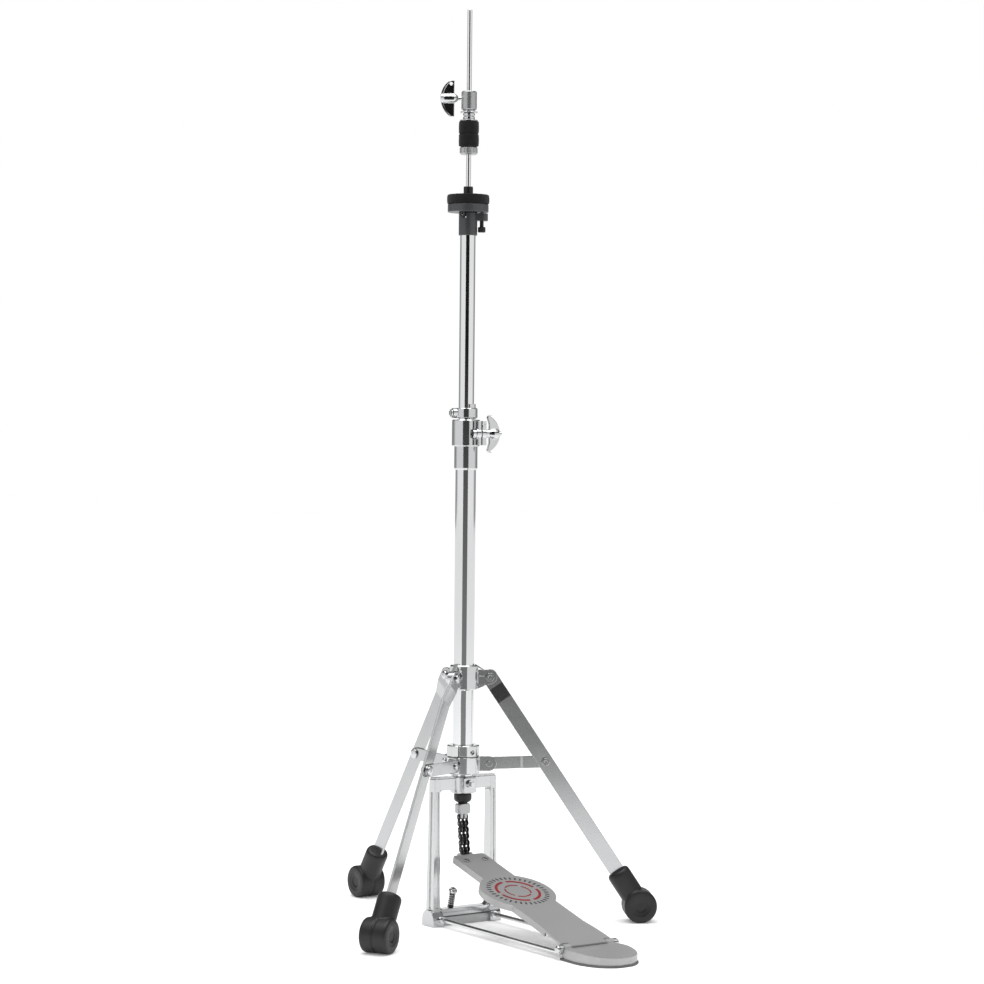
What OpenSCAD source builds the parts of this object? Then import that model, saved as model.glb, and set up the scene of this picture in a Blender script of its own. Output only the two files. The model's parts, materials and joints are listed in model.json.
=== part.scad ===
// Hi-hat stand: pedal frame, footboard with chain drive, folding tripod, two telescoping tubes,
// a tilting lower cymbal seat and a clutch on the pull rod.
// Origin on the column's axis at the floor, +Z up, the heel of the pedal towards -Y.

/* [Column] */
// Outside diameter of the lower tube
lower_od = 25.4; // [24:0.2:28]
// Outside diameter of the upper tube
upper_od = 19.05; // [16:0.05:20]
// Wall of both tubes
tube_wall = 1.6; // [1.2:0.1:2]
// Height of the tube clamp's top face
clamp_top = 618; // [500:1:740]
// Length of the clamp's split body
clamp_h = 32.6; // [26:0.2:40]
// Outside diameter of the clamp's split body
clamp_od = 35; // [32:0.5:40]
// Length of the plain sleeve below the split body
sleeve_h = 29; // [15:1:40]
// Height of the tilter's top face, on which the cymbal seat rests
tilter_top = 871; // [800:1:1045]
// Length of upper tube kept inside the lower tube and the clamp
tube_overlap = 216; // [120:1:260]

/* [Pull rod and clutch] */
// Diameter of the pull rod
rod_d = 6; // [5:0.1:6.4]
// Gap between the seat's sleeve and the clutch
clutch_gap = 39; // [30:1:60]
// Rod standing above the clutch
rod_above = 99.6; // [60:1:140]
// Diameter of the clutch felts
clutch_felt_d = 25; // [22:0.5:32]
// Height of the pair of clutch felts
clutch_felts_h = 31; // [24:0.5:38]
// Diameter of the clutch body
clutch_d = 19; // [17:0.5:22]
// Height of the clutch body
clutch_h = 23; // [20:0.5:28]

/* [Cymbal seat] */
// Diameter of the seat felt
seat_felt_d = 52; // [40:1:64]
// Thickness of the seat felt
seat_felt_h = 11.5; // [6:0.5:16]
// Diameter of the seat disc
seat_d = 50; // [44:1:60]
// Thickness of the seat disc
seat_h = 9.5; // [7:0.5:12]
// Height of the sleeve above the felt
sleeve_above = 10; // [6:0.5:20]
// Outside diameter of the tilter
tilter_od = 22.7; // [22.4:0.1:26]
// Length of the tilter
tilter_h = 28; // [22:0.5:34]

/* [Tripod] */
// Radius of the circle through the three feet
foot_circle_r = 220; // [190:1:262]
// Height between the lower and the upper leg pivots
hub_rise = 106.6; // [100:0.2:128]
// Radius of the pivots in both hubs
pivot_r = 32; // [30:0.5:36]
// Distance down the leg from its top pivot to the brace
brace_drop = 125.6; // [110:0.2:140]
// Width of the leg bar
leg_w = 19; // [16:0.5:22]
// Thickness of the leg bar
leg_t = 3; // [2.5:0.1:4]
// Width of the brace
brace_w = 15; // [13:0.5:18]
// Thickness of the brace
brace_t = 2.5; // [2:0.1:3.5]
// Diameter of the rubber foot's roll
foot_d = 41; // [34:0.5:50]
// Length of the rubber foot's roll
foot_len = 35; // [28:0.5:42]
// Diameter of the rubber foot's socket
socket_d = 30; // [27:0.5:36]
// Length of the socket above the roll's centre
socket_h = 51; // [42:1:62]

/* [Pedal frame] */
// Height of the frame's top face
frame_top = 181.5; // [170:1:214]
// Distance between the middles of the uprights
frame_w = 84.6; // [80:0.2:101]
// Width of an upright across the frame, at its foot
upright_w = 10; // [8:0.5:12]
// Depth of an upright along the pedal, at its foot
upright_d = 16; // [13:0.5:18]
// Height of the lower crossbar's top face
sill_top = 20; // [17:0.5:24]

/* [Footboard] */
// Distance from the column to the heel hinge
hinge_back = 256; // [225:1:307]
// Height of the heel hinge
hinge_z = 12.5; // [11:0.5:15]
// Half width of the footboard at the toe
toe_half = 23; // [20:0.5:28]
// Radius of the footboard's disc
disc_r = 46.5; // [40:0.5:56]
// Half width behind the disc
waist_half = 31; // [27:0.5:34]
// Thickness of the footboard
board_t = 3; // [2:0.2:4]
// Length of the heel plate behind the hinge
heel_len = 72; // [60:1:86]
// Number of chain pitches between the rod and the toe
chain_pitches = 6; // [5:1:7]

/* [Hidden] */
$fn = 48;

// fits and clearances
run = 0.05;      // radial clearance of a turning or sliding fit
gap = 0.3;       // space between faces that move past each other
eps = 0.01;      // overrun of a cut through a face
edge = 1;        // small chamfer on castings

// colours
chrome = "#C9CCCE";
satin = "#A9A9A9";
dark = "#4A4A4C";
rubber = "#333333";
felt = "#151515";

// column heights and bores
tube_bore = lower_od - 2 * tube_wall;
upper_bore = upper_od - 2 * tube_wall;
boss_h = 21;
boss_bottom = frame_top - boss_h;
lower_tube_z0 = boss_bottom + 2;
cap_h = 5;                                  // the clamp's lip above the lower tube
lower_tube_z1 = clamp_top - cap_h;
clamp_z0 = clamp_top - clamp_h;
bush_h = 52;
upper_tube_z0 = clamp_top - tube_overlap;
tilter_cap = 5;                             // solid top of the tilter, above the tube's end
upper_tube_z1 = tilter_top - tilter_cap;
clamp_turn = -14;                           // direction of the clamp bolt about the column
clamp_bolt_y = -clamp_od / 2 - 2.5;
clamp_bolt_z = clamp_z0 + 15.4;
clamp_bolt_r = 3;
clamp_head_x = 0.8;
clamp_head_r = 5.2;
clamp_head_h = 4.2;

// cymbal seat
tilt_turn = -33;                            // direction of the tilt screw about the column
tilt_pin_x = -7.5;
tilt_pin_r = 1.5;
tilt_pin_z = tilter_top - 2.5;
cheek_t = 2.5;
cheek_y = 9.2;                              // inner face of the seat's hinge cheeks
tilt_screw_x = tilter_od / 2 + 5.4;
tilt_screw_r = 2.4;
seat_z0 = tilter_top + gap;
felt_z0 = seat_z0 + seat_h + 0.4;
seat_sleeve_r = 5.8;
seat_bore_r = rod_d / 2 + 1.7;
sleeve_top = felt_z0 + seat_felt_h + sleeve_above;

// clutch heights
clutch_z0 = sleeve_top + clutch_gap;
bottom_nut_h = 9.5;
clutch_felt_z0 = clutch_z0 + bottom_nut_h + 0.3;
clutch_felt_z1 = clutch_felt_z0 + clutch_felts_h;
washer_t = 1.2;
lock_nut_h = 4.2;
nuts_z0 = clutch_felt_z1 + washer_t + 0.2;
clutch_body_z0 = nuts_z0 + 2 * lock_nut_h + washer_t + 2.4;
clutch_body_z1 = clutch_body_z0 + clutch_h;
clutch_tube_r = rod_d / 2 + 1.6;
clutch_screw_z = clutch_body_z0 + 14;
clutch_turn = 146;                          // direction of the clutch's wing screw
clutch_screw_r = 2.2;
rod_top = clutch_body_z1 + rod_above;

// the coupler between the two rods, above the return spring
coupler_z0 = lower_tube_z0 + 99;
coupler_h = 34;

// pedal frame
frame_x = frame_w / 2;
sill_h = 9.5;
sill_z0 = sill_top - sill_h;
bar_h = 16;
upright_top_w = 0.8 * upright_w;
upright_top_d = 0.75 * upright_d;
upright_h = frame_top - 4 - 20;             // sloping part of an upright, above its block
block_w = 15.4;
block_d = 25;
block_h = 20;
rod_x = frame_x - 3.7;
rod_z = 9;
radius_rod_d = 5;
rod_eye_r = 5.4;
boss_r = 15.5;
boss_flat_half = 8.8;
boss_face = boss_r + 0.6;                   // flat on the front of the boss, under the key screw
frame_screw_z = frame_top - 9;
key_screw_r = 3;

// chain, from its top pin in the connector to its bottom pin at the toe
pitch = 8;
chain_lean = 7;
chain_len = chain_pitches * pitch;
bumper_h = 13.2;
connector_h = 12;
bumper_gap = 0.6;
connector_z1 = boss_bottom - bumper_gap - bumper_h;
connector_w = 17.5;
tongue_half = 2;
tongue_r = 3;
chain_top_z = connector_z1 - connector_h - 4.2;
chain_pin_r = 1.15;
roller_r = 2.5;
plate_r = 3.5;
plate_t = 0.8;
strand = 2.85;                              // each roller row from the chain's middle
chain_half = 7;                             // half length of a chain pin
toe_pin_y = -chain_len * sin(chain_lean);
toe_pin_z = chain_top_z - chain_len * cos(chain_lean);

// footboard: local y runs up the board from the hinge, local z is its normal
board_z0 = 2.2;
toe_screw_x = 13.6;
toe_screw_r = 2.2;
toe_pin_w = 0.8;                            // toe pin above the hinge's plane
toe_reach = sqrt(pow(hinge_back + toe_pin_y, 2) + pow(toe_pin_z - hinge_z, 2) - pow(toe_pin_w, 2));
board_slope = atan2(toe_pin_z - hinge_z, hinge_back + toe_pin_y) - atan2(toe_pin_w, toe_reach);
board_len = toe_reach - 5.5;
disc_u = board_len - 110;
flange_h = 8;
flange_t = 2.4;
knuckle_r = 5;
hinge_pin_r = 2.5;
heel_half = rod_x - 0.6;
heel_ear_out = rod_x - radius_rod_d / 2 - 2 * gap;
heel_ear_in = heel_ear_out - 10;
heel_ear_r = 5.8;
knuckle_half = heel_ear_in - gap;
heel_front = 6.2;                           // the heel plate starts this far behind the hinge
heel_base_t = 2.6;
heel_h = 14;

// tripod
hub_z0 = frame_top + 2.6;
lower_hub_h = 20.9;
lower_pivot_z = hub_z0 + 11.9;
upper_pivot_z = lower_pivot_z + hub_rise;
hub_r = 20.2;
upper_hub_r = 17.5;
collar_z0 = hub_z0 + lower_hub_h + gap;
collar_h = 14.2;
ear_t = 5;
ear_end_r = 9;
leg_turns = [-30, 90, -150];
leg_dx = foot_circle_r - pivot_r;
leg_dz = upper_pivot_z - foot_d / 2;
leg_len = sqrt(leg_dx * leg_dx + leg_dz * leg_dz);
leg_angle = atan2(leg_dx, leg_dz);          // from the vertical
brace_dx = brace_drop * sin(leg_angle);
brace_dz = hub_rise - brace_drop * cos(leg_angle);
brace_len = sqrt(brace_dx * brace_dx + brace_dz * brace_dz);
brace_rise = atan2(brace_dz, brace_dx);
leg_top_y = ear_t / 2 + gap;                // near face of the leg's top end
brace_in_y = ear_t / 2 + gap;               // near face of the brace at the hub
brace_out_y = leg_t / 2 + gap;              // near face of the brace at the leg
leg_pivot_bolt_r = 3;
brace_pivot_bolt_r = 2.5;
brace_bolt_r = 2.4;
brace_hole_r = 4.9;                         // wide, because this pivot is left open
bar_in_foot = 14;                           // the bar ends this far from the roll's centre

// spur
spur_x = -17;
spur_lean = 14;
spur_r = 2.5;
spur_head_r = 5.4;

// ---------------------------------------------------------------- shared shapes

module tube(r_out, r_in, z0, z1) {
    difference() {
        translate([0, 0, z0]) cylinder(r = r_out, h = z1 - z0);
        translate([0, 0, z0 - eps]) cylinder(r = r_in, h = z1 - z0 + 2 * eps);
    }
}

// a turned solid with a chamfer at both ends
module turned(r, z0, z1, c = edge) {
    rotate_extrude()
        polygon([[0, z0], [r - c, z0], [r, z0 + c], [r, z1 - c], [r - c, z1], [0, z1]]);
}

module cylinder_z(r, z0, z1) translate([0, 0, z0]) cylinder(r = r, h = z1 - z0);

// a cylinder along +X or +Y, starting at the origin
module along_x(r, h) rotate([0, 90, 0]) cylinder(r = r, h = h);
module along_y(r, h) rotate([-90, 0, 0]) cylinder(r = r, h = h);

module box(x0, x1, y0, y1, z0, z1) {
    translate([x0, y0, z0]) cube([x1 - x0, y1 - y0, z1 - z0]);
}

// a dome head on a short flange, along +Y
module dome_head(r, h) {
    rotate([-90, 0, 0]) rotate_extrude()
        polygon([[0, 0], [r, 0], [r, h * 0.45], [r * 0.86, h * 0.75], [r * 0.55, h * 0.95], [0, h]]);
}

// a hexagon nut along +Y, drilled for its bolt
module hex_nut(af, h, bore_r) {
    rotate([-90, 0, 0]) difference() {
        cylinder(r = af / sqrt(3), h = h, $fn = 6);
        translate([0, 0, -eps]) cylinder(r = bore_r, h = h + 2 * eps);
    }
}

// a screw head with a square drive, along +Z
module key_head(r, h, square_af = 5.4, square_h = 5) {
    cylinder(r = r, h = h);
    translate([-square_af / 2, -square_af / 2, h]) cube([square_af, square_af, square_h]);
}

// a wire wound round +Z
module coil(r, wire, z0, z1, turns, seg = 12, sides = 6) {
    n = turns * seg;
    points = [for (i = [0:n], k = [0:sides - 1])
        let (a = 360 * i / seg, b = 360 * k / sides, z = z0 + wire / 2 + (z1 - z0 - wire) * i / n)
        [(r + wire / 2 * cos(b)) * cos(a), (r + wire / 2 * cos(b)) * sin(a), z + wire / 2 * sin(b)]];
    sides_faces = [for (i = [0:n - 1], k = [0:sides - 1])
        [i * sides + k, i * sides + (k + 1) % sides, (i + 1) * sides + (k + 1) % sides, (i + 1) * sides + k]];
    start = [[for (k = [sides - 1:-1:0]) k]];
    end = [[for (k = [0:sides - 1]) n * sides + k]];
    polyhedron(points, concat(sides_faces, start, end), convexity = 10);
}

// a D-shaped wing in the XZ plane: flat side at x0, bowed side at x1, half height h, thickness t
module wing(x0, x1, h, t) {
    bow = x1 - x0;
    big = (h * h + bow * bow) / (2 * bow);
    translate([0, t / 2, 0]) rotate([90, 0, 0]) linear_extrude(t) intersection() {
        translate([x1 - big, 0]) circle(r = big, $fn = 96);
        translate([x0, -h + 3]) square([bow + 1, 2 * h - 6]);
    }
}

// ---------------------------------------------------------------- column

module lower_tube() {
    color(chrome) tube(lower_od / 2, tube_bore / 2, lower_tube_z0, lower_tube_z1);
}

module tube_clamp() {
    ear_x0 = clamp_head_x + clamp_head_h;
    ear_x1 = clamp_od / 2 - 0.4;
    color(chrome) rotate([0, 0, clamp_turn]) difference() {
        union() {
            turned(clamp_od / 2, clamp_z0, clamp_top);
            rotate_extrude() polygon([
                [0, clamp_z0 - sleeve_h], [lower_od / 2 + 0.3, clamp_z0 - sleeve_h],
                [14.4, clamp_z0 - sleeve_h + 2.2], [14.4, clamp_z0 + edge], [0, clamp_z0 + edge]]);
            box(ear_x0 + 2, ear_x1, clamp_bolt_y - 5, 0, clamp_z0 + 1.5, clamp_top - 1.5);
            translate([ear_x0, clamp_bolt_y, clamp_bolt_z]) along_x(6.7, ear_x1 - ear_x0);
            translate([13.5, clamp_bolt_y - 5.8, clamp_top - 7.5]) along_y(2.3, 4);
        }
        translate([0, 0, clamp_z0 - sleeve_h - eps])
            cylinder(r = lower_od / 2 + run, h = lower_tube_z1 + gap - clamp_z0 + sleeve_h);
        translate([0, 0, lower_tube_z1]) cylinder(r = upper_od / 2 + gap, h = cap_h + 1);
        box(10.6, 12, -40, 0, clamp_z0 - eps, clamp_top + 1);
        translate([0, clamp_bolt_y, clamp_bolt_z]) {
            along_x(clamp_bolt_r + run, 40);
            along_x(clamp_head_r + gap, ear_x0);
        }
    }
}

module tube_bush() {
    color("#E4E4E0") tube(tube_bore / 2 - run, upper_od / 2 + run, lower_tube_z1 - bush_h, lower_tube_z1);
}

module clamp_bolt() {
    color(chrome) rotate([0, 0, clamp_turn]) translate([0, clamp_bolt_y, clamp_bolt_z]) {
        translate([clamp_head_x, 0, 0]) along_x(clamp_head_r, clamp_head_h);
        translate([clamp_head_x + 1, 0, 0]) along_x(clamp_bolt_r, 36.2);
    }
}

module clamp_wing_nut() {
    barrel_x0 = clamp_od / 2 + 0.2;
    color(chrome) rotate([0, 0, clamp_turn]) translate([0, clamp_bolt_y, clamp_bolt_z]) difference() {
        union() {
            translate([barrel_x0, 0, 0]) along_x(5.2, 17);
            wing(barrel_x0 + 4, barrel_x0 + 18.5, 27, 4.4);
        }
        translate([barrel_x0 - 1, 0, 0]) along_x(clamp_bolt_r + run, 40);
    }
}

module rod_guide() {
    color("#E4E4E0") tube(tube_bore / 2 - run, rod_d / 2 + run, lower_tube_z0 + 2, lower_tube_z0 + 18);
}

module return_spring() {
    color("#8A8C8E") coil(7.6, 2.2, lower_tube_z0 + 18.2, lower_tube_z0 + 98.8, 9);
}

module lower_collar() {
    color(chrome) difference() {
        turned(hub_r, collar_z0, collar_z0 + collar_h);
        translate([0, 0, collar_z0 - 1]) cylinder(r = lower_od / 2 + run, h = collar_h + 2);
        rotate([0, 0, -140]) box(10, 30, -0.6, 0.6, collar_z0 - 1, collar_z0 + collar_h + 1);
        translate([0, -lower_od / 2, collar_z0 + 6]) mirror([0, 1, 0]) along_y(key_screw_r + run, 12);
    }
}

// the screw that holds the frame to the tube, and the one sunk in the collar
module key_screws() {
    color(chrome) {
        translate([0, -lower_od / 2 - run, frame_screw_z]) rotate([90, 0, 0]) {
            cylinder(r = key_screw_r, h = boss_face - lower_od / 2);
            translate([0, 0, boss_face - lower_od / 2]) key_head(5, 3, 5.4, 3.4);
        }
        translate([0, -lower_od / 2 - run, collar_z0 + 6]) rotate([90, 0, 0]) difference() {
            cylinder(r = key_screw_r, h = 5.4);
            translate([-1.3, -1.3, 3]) cube([2.6, 2.6, 3]);
        }
    }
}

module memory_lock() {
    z0 = clamp_top + 1.8;
    z1 = z0 + 12.3;
    color(chrome) rotate([0, 0, clamp_turn]) difference() {
        union() {
            turned(14, z0, z1, 0.8);
            translate([-18.2, 0, (z0 + z1) / 2]) along_x(6, 10);
            intersection() {
                tube(12.6, upper_od / 2 + run, z0 - 1.4, z1 + 4.9);
                box(0, 9, -14, 0, z0 - 2, z1 + 6);
            }
        }
        translate([0, 0, z0 - 3]) cylinder(r = upper_od / 2 + run, h = 25);
        translate([-24, 0, (z0 + z1) / 2]) along_x(2.5 + run, 24);
    }
}

module memory_lock_screw() {
    z = clamp_top + 1.8 + 6.15;
    color(chrome) rotate([0, 0, clamp_turn]) translate([-upper_od / 2 - run, 0, z]) rotate([0, -90, 0]) {
        cylinder(r = 2.5, h = 9);
        translate([0, 0, 9]) key_head(4.6, 1.6, 5, 1.4);
    }
}

// ---------------------------------------------------------------- upper tube and cymbal seat

module upper_tube() {
    color(chrome) tube(upper_od / 2, upper_bore / 2, upper_tube_z0, upper_tube_z1);
}

module tilter_body() {
    lug_z0 = tilter_top - 10;
    color(dark) rotate([0, 0, tilt_turn]) difference() {
        union() {
            turned(tilter_od / 2, tilter_top - tilter_h, tilter_top, 0.6);
            box(8, tilt_screw_x + 2, -6.5, 6.5, lug_z0, tilter_top - 1);
            translate([tilt_screw_x + 1, 0, lug_z0]) cylinder(r = 6.5, h = 9);
        }
        cylinder_z(upper_od / 2 + run, tilter_top - tilter_h - 1, upper_tube_z1);
        translate([0, 0, tilter_top - 10]) cylinder(r = rod_d / 2 + 0.6, h = 12);
        translate([tilt_screw_x, 0, lug_z0 - 1]) cylinder(r = tilt_screw_r + run, h = 12);
        translate([tilt_pin_x, -20, tilt_pin_z]) along_y(tilt_pin_r + run, 40);
        for (s = [-1, 1])
            translate([tilt_pin_x - 6, s > 0 ? cheek_y - gap : -20, tilt_pin_z - 4.4])
                cube([11, 20 - cheek_y + gap, 20]);
    }
}

module tilt_pin() {
    half = cheek_y + cheek_t;
    color(chrome) rotate([0, 0, tilt_turn])
        translate([tilt_pin_x, -half, tilt_pin_z]) along_y(tilt_pin_r, 2 * half);
}

module seat_disc() {
    color(dark) rotate([0, 0, tilt_turn]) difference() {
        union() {
            turned(seat_d / 2, seat_z0, seat_z0 + seat_h, 0.6);
            for (y = [-cheek_y - cheek_t, cheek_y]) translate([tilt_pin_x, y, tilt_pin_z]) {
                along_y(3.4, cheek_t);
                translate([-3.4, 0, 0]) cube([6.8, cheek_t, seat_z0 - tilt_pin_z + 1]);
            }
        }
        translate([0, 0, seat_z0 - 1]) cylinder(r = seat_bore_r, h = seat_h + 2);
        translate([tilt_pin_x, -20, tilt_pin_z]) along_y(tilt_pin_r + run, 40);
    }
}

module seat_felt() {
    color(felt) difference() {
        turned(seat_felt_d / 2, felt_z0, felt_z0 + seat_felt_h, 0.8);
        translate([0, 0, felt_z0 - 1]) cylinder(r = seat_sleeve_r + 0.2, h = seat_felt_h + 2);
    }
}

module seat_sleeve() {
    color(rubber) difference() {
        rotate_extrude() polygon([
            [0, seat_z0 + seat_h + 0.02], [9, seat_z0 + seat_h + 0.02], [9, felt_z0 - 0.05],
            [seat_sleeve_r, felt_z0 - 0.05],
            [seat_sleeve_r, sleeve_top - 0.6], [seat_sleeve_r - 0.6, sleeve_top], [0, sleeve_top]]);
        translate([0, 0, seat_z0 + seat_h - 1]) cylinder(r = seat_bore_r, h = 40);
    }
}

module tilt_screw() {
    knob_h = 6.5;
    knob_z0 = tilter_top - 24;
    color(rubber) rotate([0, 0, tilt_turn]) translate([tilt_screw_x, 0, 0]) {
        cylinder_z(tilt_screw_r, knob_z0 + knob_h, tilter_top - 0.1);
        difference() {
            turned(4.7, knob_z0, knob_z0 + knob_h, 0.7);
            for (a = [0:45:315]) rotate([0, 0, a])
                translate([5.1, 0, knob_z0 - 1]) cylinder(r = 0.9, h = 9, $fn = 16);
        }
    }
}

// ---------------------------------------------------------------- pull rod and clutch

module upper_rod() {
    color(chrome) turned_rod(coupler_z0 + coupler_h / 2, rod_top);
}

module turned_rod(z0, z1) {
    rotate_extrude()
        polygon([[0, z0], [rod_d / 2, z0], [rod_d / 2, z1 - 0.8], [rod_d / 2 - 0.8, z1], [0, z1]]);
}

module lower_rod() {
    color(chrome) cylinder_z(rod_d / 2, connector_z1 - 4, coupler_z0 + coupler_h / 2 - gap);
}

// joins the two rods, and its flange takes the spring's thrust
module rod_coupler() {
    color(chrome) difference() {
        union() {
            cylinder_z(9.6, coupler_z0, coupler_z0 + 3);
            cylinder_z(5, coupler_z0 + 3, coupler_z0 + coupler_h);
        }
        cylinder_z(rod_d / 2 + run, coupler_z0 - 1, coupler_z0 + coupler_h + 1);
    }
}

module rod_bumper() {
    z0 = connector_z1;
    color("#161616") difference() {
        rotate_extrude() polygon([
            [0, z0 + 0.1], [5.4, z0 + 0.1], [6, z0 + 1.4], [8.6, z0 + 2.6], [10.3, z0 + 4.2],
            [10.9, z0 + 6.2], [10.9, z0 + bumper_h - 2], [10.3, z0 + bumper_h - 0.6],
            [9.4, z0 + bumper_h], [0, z0 + bumper_h]]);
        cylinder_z(rod_d / 2 + run, z0 - 1, z0 + bumper_h + 1);
    }
}

// a block on the rod's end, with a tongue for each strand of the chain
module chain_connector() {
    z0 = connector_z1 - connector_h;
    color(satin) difference() {
        union() {
            intersection() {
                turned(connector_w / 2 + 0.6, z0, connector_z1, 1.2);
                box(-connector_w / 2, connector_w / 2, -6, 6, z0 - 1, connector_z1 + 1);
            }
            for (s = [-1, 1]) translate([s * strand - tongue_half, 0, 0]) {
                box(0, 2 * tongue_half, -tongue_r, tongue_r, chain_top_z, z0 + 1);
                translate([0, 0, chain_top_z]) along_x(tongue_r, 2 * tongue_half);
            }
        }
        translate([-20, 0, chain_top_z]) along_x(chain_pin_r + run, 40);
        cylinder_z(rod_d / 2 + run, z0 + 3, connector_z1 + 1);
    }
}

module at_chain() translate([0, 0, chain_top_z]) rotate([-chain_lean, 0, 0]) children();

module chain_plate(x) {
    translate([x - plate_t / 2, 0, 0]) rotate([90, 0, 90]) linear_extrude(plate_t) difference() {
        union() {
            circle(r = plate_r, $fn = 32);
            translate([0, -pitch]) circle(r = plate_r, $fn = 32);
            translate([-2.5, -pitch]) square([5, pitch]);
        }
        circle(r = chain_pin_r + run, $fn = 24);
        translate([0, -pitch]) circle(r = chain_pin_r + run, $fn = 24);
    }
}

module chain_plates() {
    inner = plate_t / 2 + 1.5;
    outer = inner + plate_t + 0.15;
    color("#6A6C6E") at_chain() for (i = [0:chain_pitches - 1]) translate([0, 0, -i * pitch]) {
        if (i % 2 == 0)
            for (x = [-strand - outer, 0, strand + outer]) chain_plate(x);
        else
            for (s = [-1, 1], e = [-1, 1]) chain_plate(s * strand + e * inner);
    }
}

module chain_pins() {
    roller_half = 1.4;
    color("#5A5C5E") at_chain() for (i = [0:chain_pitches]) translate([0, 0, -i * pitch]) {
        translate([-chain_half, 0, 0]) along_x(chain_pin_r, 2 * chain_half);
        // the top pin turns in the tongues and has no rollers
        if (i > 0) for (s = [-1, 1]) translate([s * strand - roller_half, 0, 0]) difference() {
            along_x(roller_r, 2 * roller_half);
            translate([-1, 0, 0]) along_x(chain_pin_r + run, 5);
        }
    }
}

module clutch_body() {
    color(satin) difference() {
        union() {
            turned(clutch_d / 2, clutch_body_z0, clutch_body_z1, 1.2);
            cylinder_z(clutch_d / 2 - 2.4, clutch_body_z0 - 2.2, clutch_body_z0 + 1);
            cylinder_z(clutch_tube_r, clutch_z0 + 0.8, clutch_body_z0);
        }
        cylinder_z(rod_d / 2 + run, clutch_z0, clutch_body_z1 + 1);
        box(-2.6, 2.6, -20, 20, clutch_body_z1 - 2, clutch_body_z1 + 1);
        rotate([0, 0, clutch_turn]) translate([0, 0, clutch_screw_z]) along_x(clutch_screw_r + run, 20);
    }
}

module clutch_nuts() {
    color(chrome) for (i = [0, 1]) difference() {
        turned(7.4, nuts_z0 + i * (lock_nut_h + 0.1), nuts_z0 + i * (lock_nut_h + 0.1) + lock_nut_h, 1);
        cylinder_z(clutch_tube_r + run, nuts_z0 - 1, nuts_z0 + 12);
    }
}

// the cup washer on the felts, and the plain one under the clutch body
module clutch_washers() {
    top = nuts_z0 + 2 * lock_nut_h + 0.2;
    color(chrome) {
        tube(11, clutch_tube_r + run, clutch_felt_z1 + 0.1, clutch_felt_z1 + washer_t);
        tube(10.6, clutch_tube_r + run, top, top + washer_t);
    }
}

module clutch_felts() {
    half = clutch_felts_h / 2;
    color(felt) for (i = [0, 1]) difference() {
        turned(clutch_felt_d / 2, clutch_felt_z0 + i * half + 0.05,
            clutch_felt_z0 + (i + 1) * half - 0.05, 0.9);
        cylinder_z(clutch_tube_r + 0.1, clutch_felt_z0 - 1, clutch_felt_z1 + 1);
    }
}

module clutch_bottom_nut() {
    color(satin) difference() {
        turned(11, clutch_z0, clutch_z0 + bottom_nut_h, 1.6);
        cylinder_z(clutch_tube_r + run, clutch_z0 + 0.8, clutch_z0 + bottom_nut_h + 1);
        cylinder_z(rod_d / 2 + run, clutch_z0 - 1, clutch_z0 + 2);
        for (a = [0:30:330]) rotate([0, 0, a])
            translate([11.5, 0, clutch_z0 - 1]) cylinder(r = 0.9, h = 12, $fn = 16);
    }
}

module clutch_wing_screw() {
    tip = rod_d / 2 + 0.2;
    wing_x = clutch_d / 2 + 8;
    color("#77797B") rotate([0, 0, clutch_turn]) translate([0, 0, clutch_screw_z]) {
        difference() {
            union() {
                rotate([0, 90, 0]) rotate_extrude() polygon([
                    [0, tip], [clutch_screw_r, tip], [clutch_screw_r, wing_x - 4], [6, wing_x + 1],
                    [6, wing_x + 17], [5.2, wing_x + 18], [0, wing_x + 18]]);
                wing(wing_x, wing_x + 18, 25.5, 3.6);
            }
            translate([wing_x + 4.6, -5, 18.4]) along_y(2.1, 10);
        }
    }
}

// ---------------------------------------------------------------- tripod

module at_leg(i) rotate([0, 0, leg_turns[i]]) children();
module at_leg_bar(i)
    at_leg(i) translate([pivot_r, 0, upper_pivot_z]) rotate([0, 90 - leg_angle, 0]) children();
module at_brace(i)
    at_leg(i) translate([pivot_r, 0, lower_pivot_z]) rotate([0, -brace_rise, 0]) children();
// a plan drawn along the bar and across its width, given its thickness across the bar
module flat_plan(y0, y1) translate([0, y1, 0]) rotate([90, 0, 0]) linear_extrude(y1 - y0) children();

// a radial ear with a round end at the pivot
module ear(z_pivot, r_in, drop, bolt_r) {
    difference() {
        flat_plan(-ear_t / 2, ear_t / 2) union() {
            translate([pivot_r, z_pivot]) circle(r = ear_end_r);
            polygon([[r_in, z_pivot - drop], [pivot_r, z_pivot - ear_end_r], [pivot_r, z_pivot + ear_end_r],
                [r_in, z_pivot + ear_end_r]]);
        }
        translate([pivot_r, -ear_t, z_pivot]) along_y(bolt_r + run, 2 * ear_t);
    }
}

module lower_hub() {
    color(chrome) difference() {
        union() {
            turned(hub_r, hub_z0, hub_z0 + lower_hub_h, 0.8);
            for (i = [0:2]) at_leg(i) ear(lower_pivot_z, hub_r - 3, ear_end_r, brace_pivot_bolt_r);
        }
        cylinder_z(lower_od / 2 + 2 * run, hub_z0 - 1, hub_z0 + lower_hub_h + 1);
    }
}

// three raised ribs on the open face of an upper ear: they spread from the pivot to the hub
module lug_ribs(z) {
    for (r = [[15, ear_end_r - 0.5, 3], [1, 1.5, 2.6], [-14, -ear_end_r + 0.5, 3]])
        flat_plan(-ear_t / 2 - 2.6, 0) polygon([
            [upper_hub_r - 4, z + r[0] - r[2] / 2], [pivot_r - 7, z + r[1] - r[2] / 2 + sign(r[0])],
            [pivot_r - 7, z + r[1] + r[2] / 2 - 1], [upper_hub_r - 4, z + r[0] + r[2] / 2]]);
}

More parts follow.
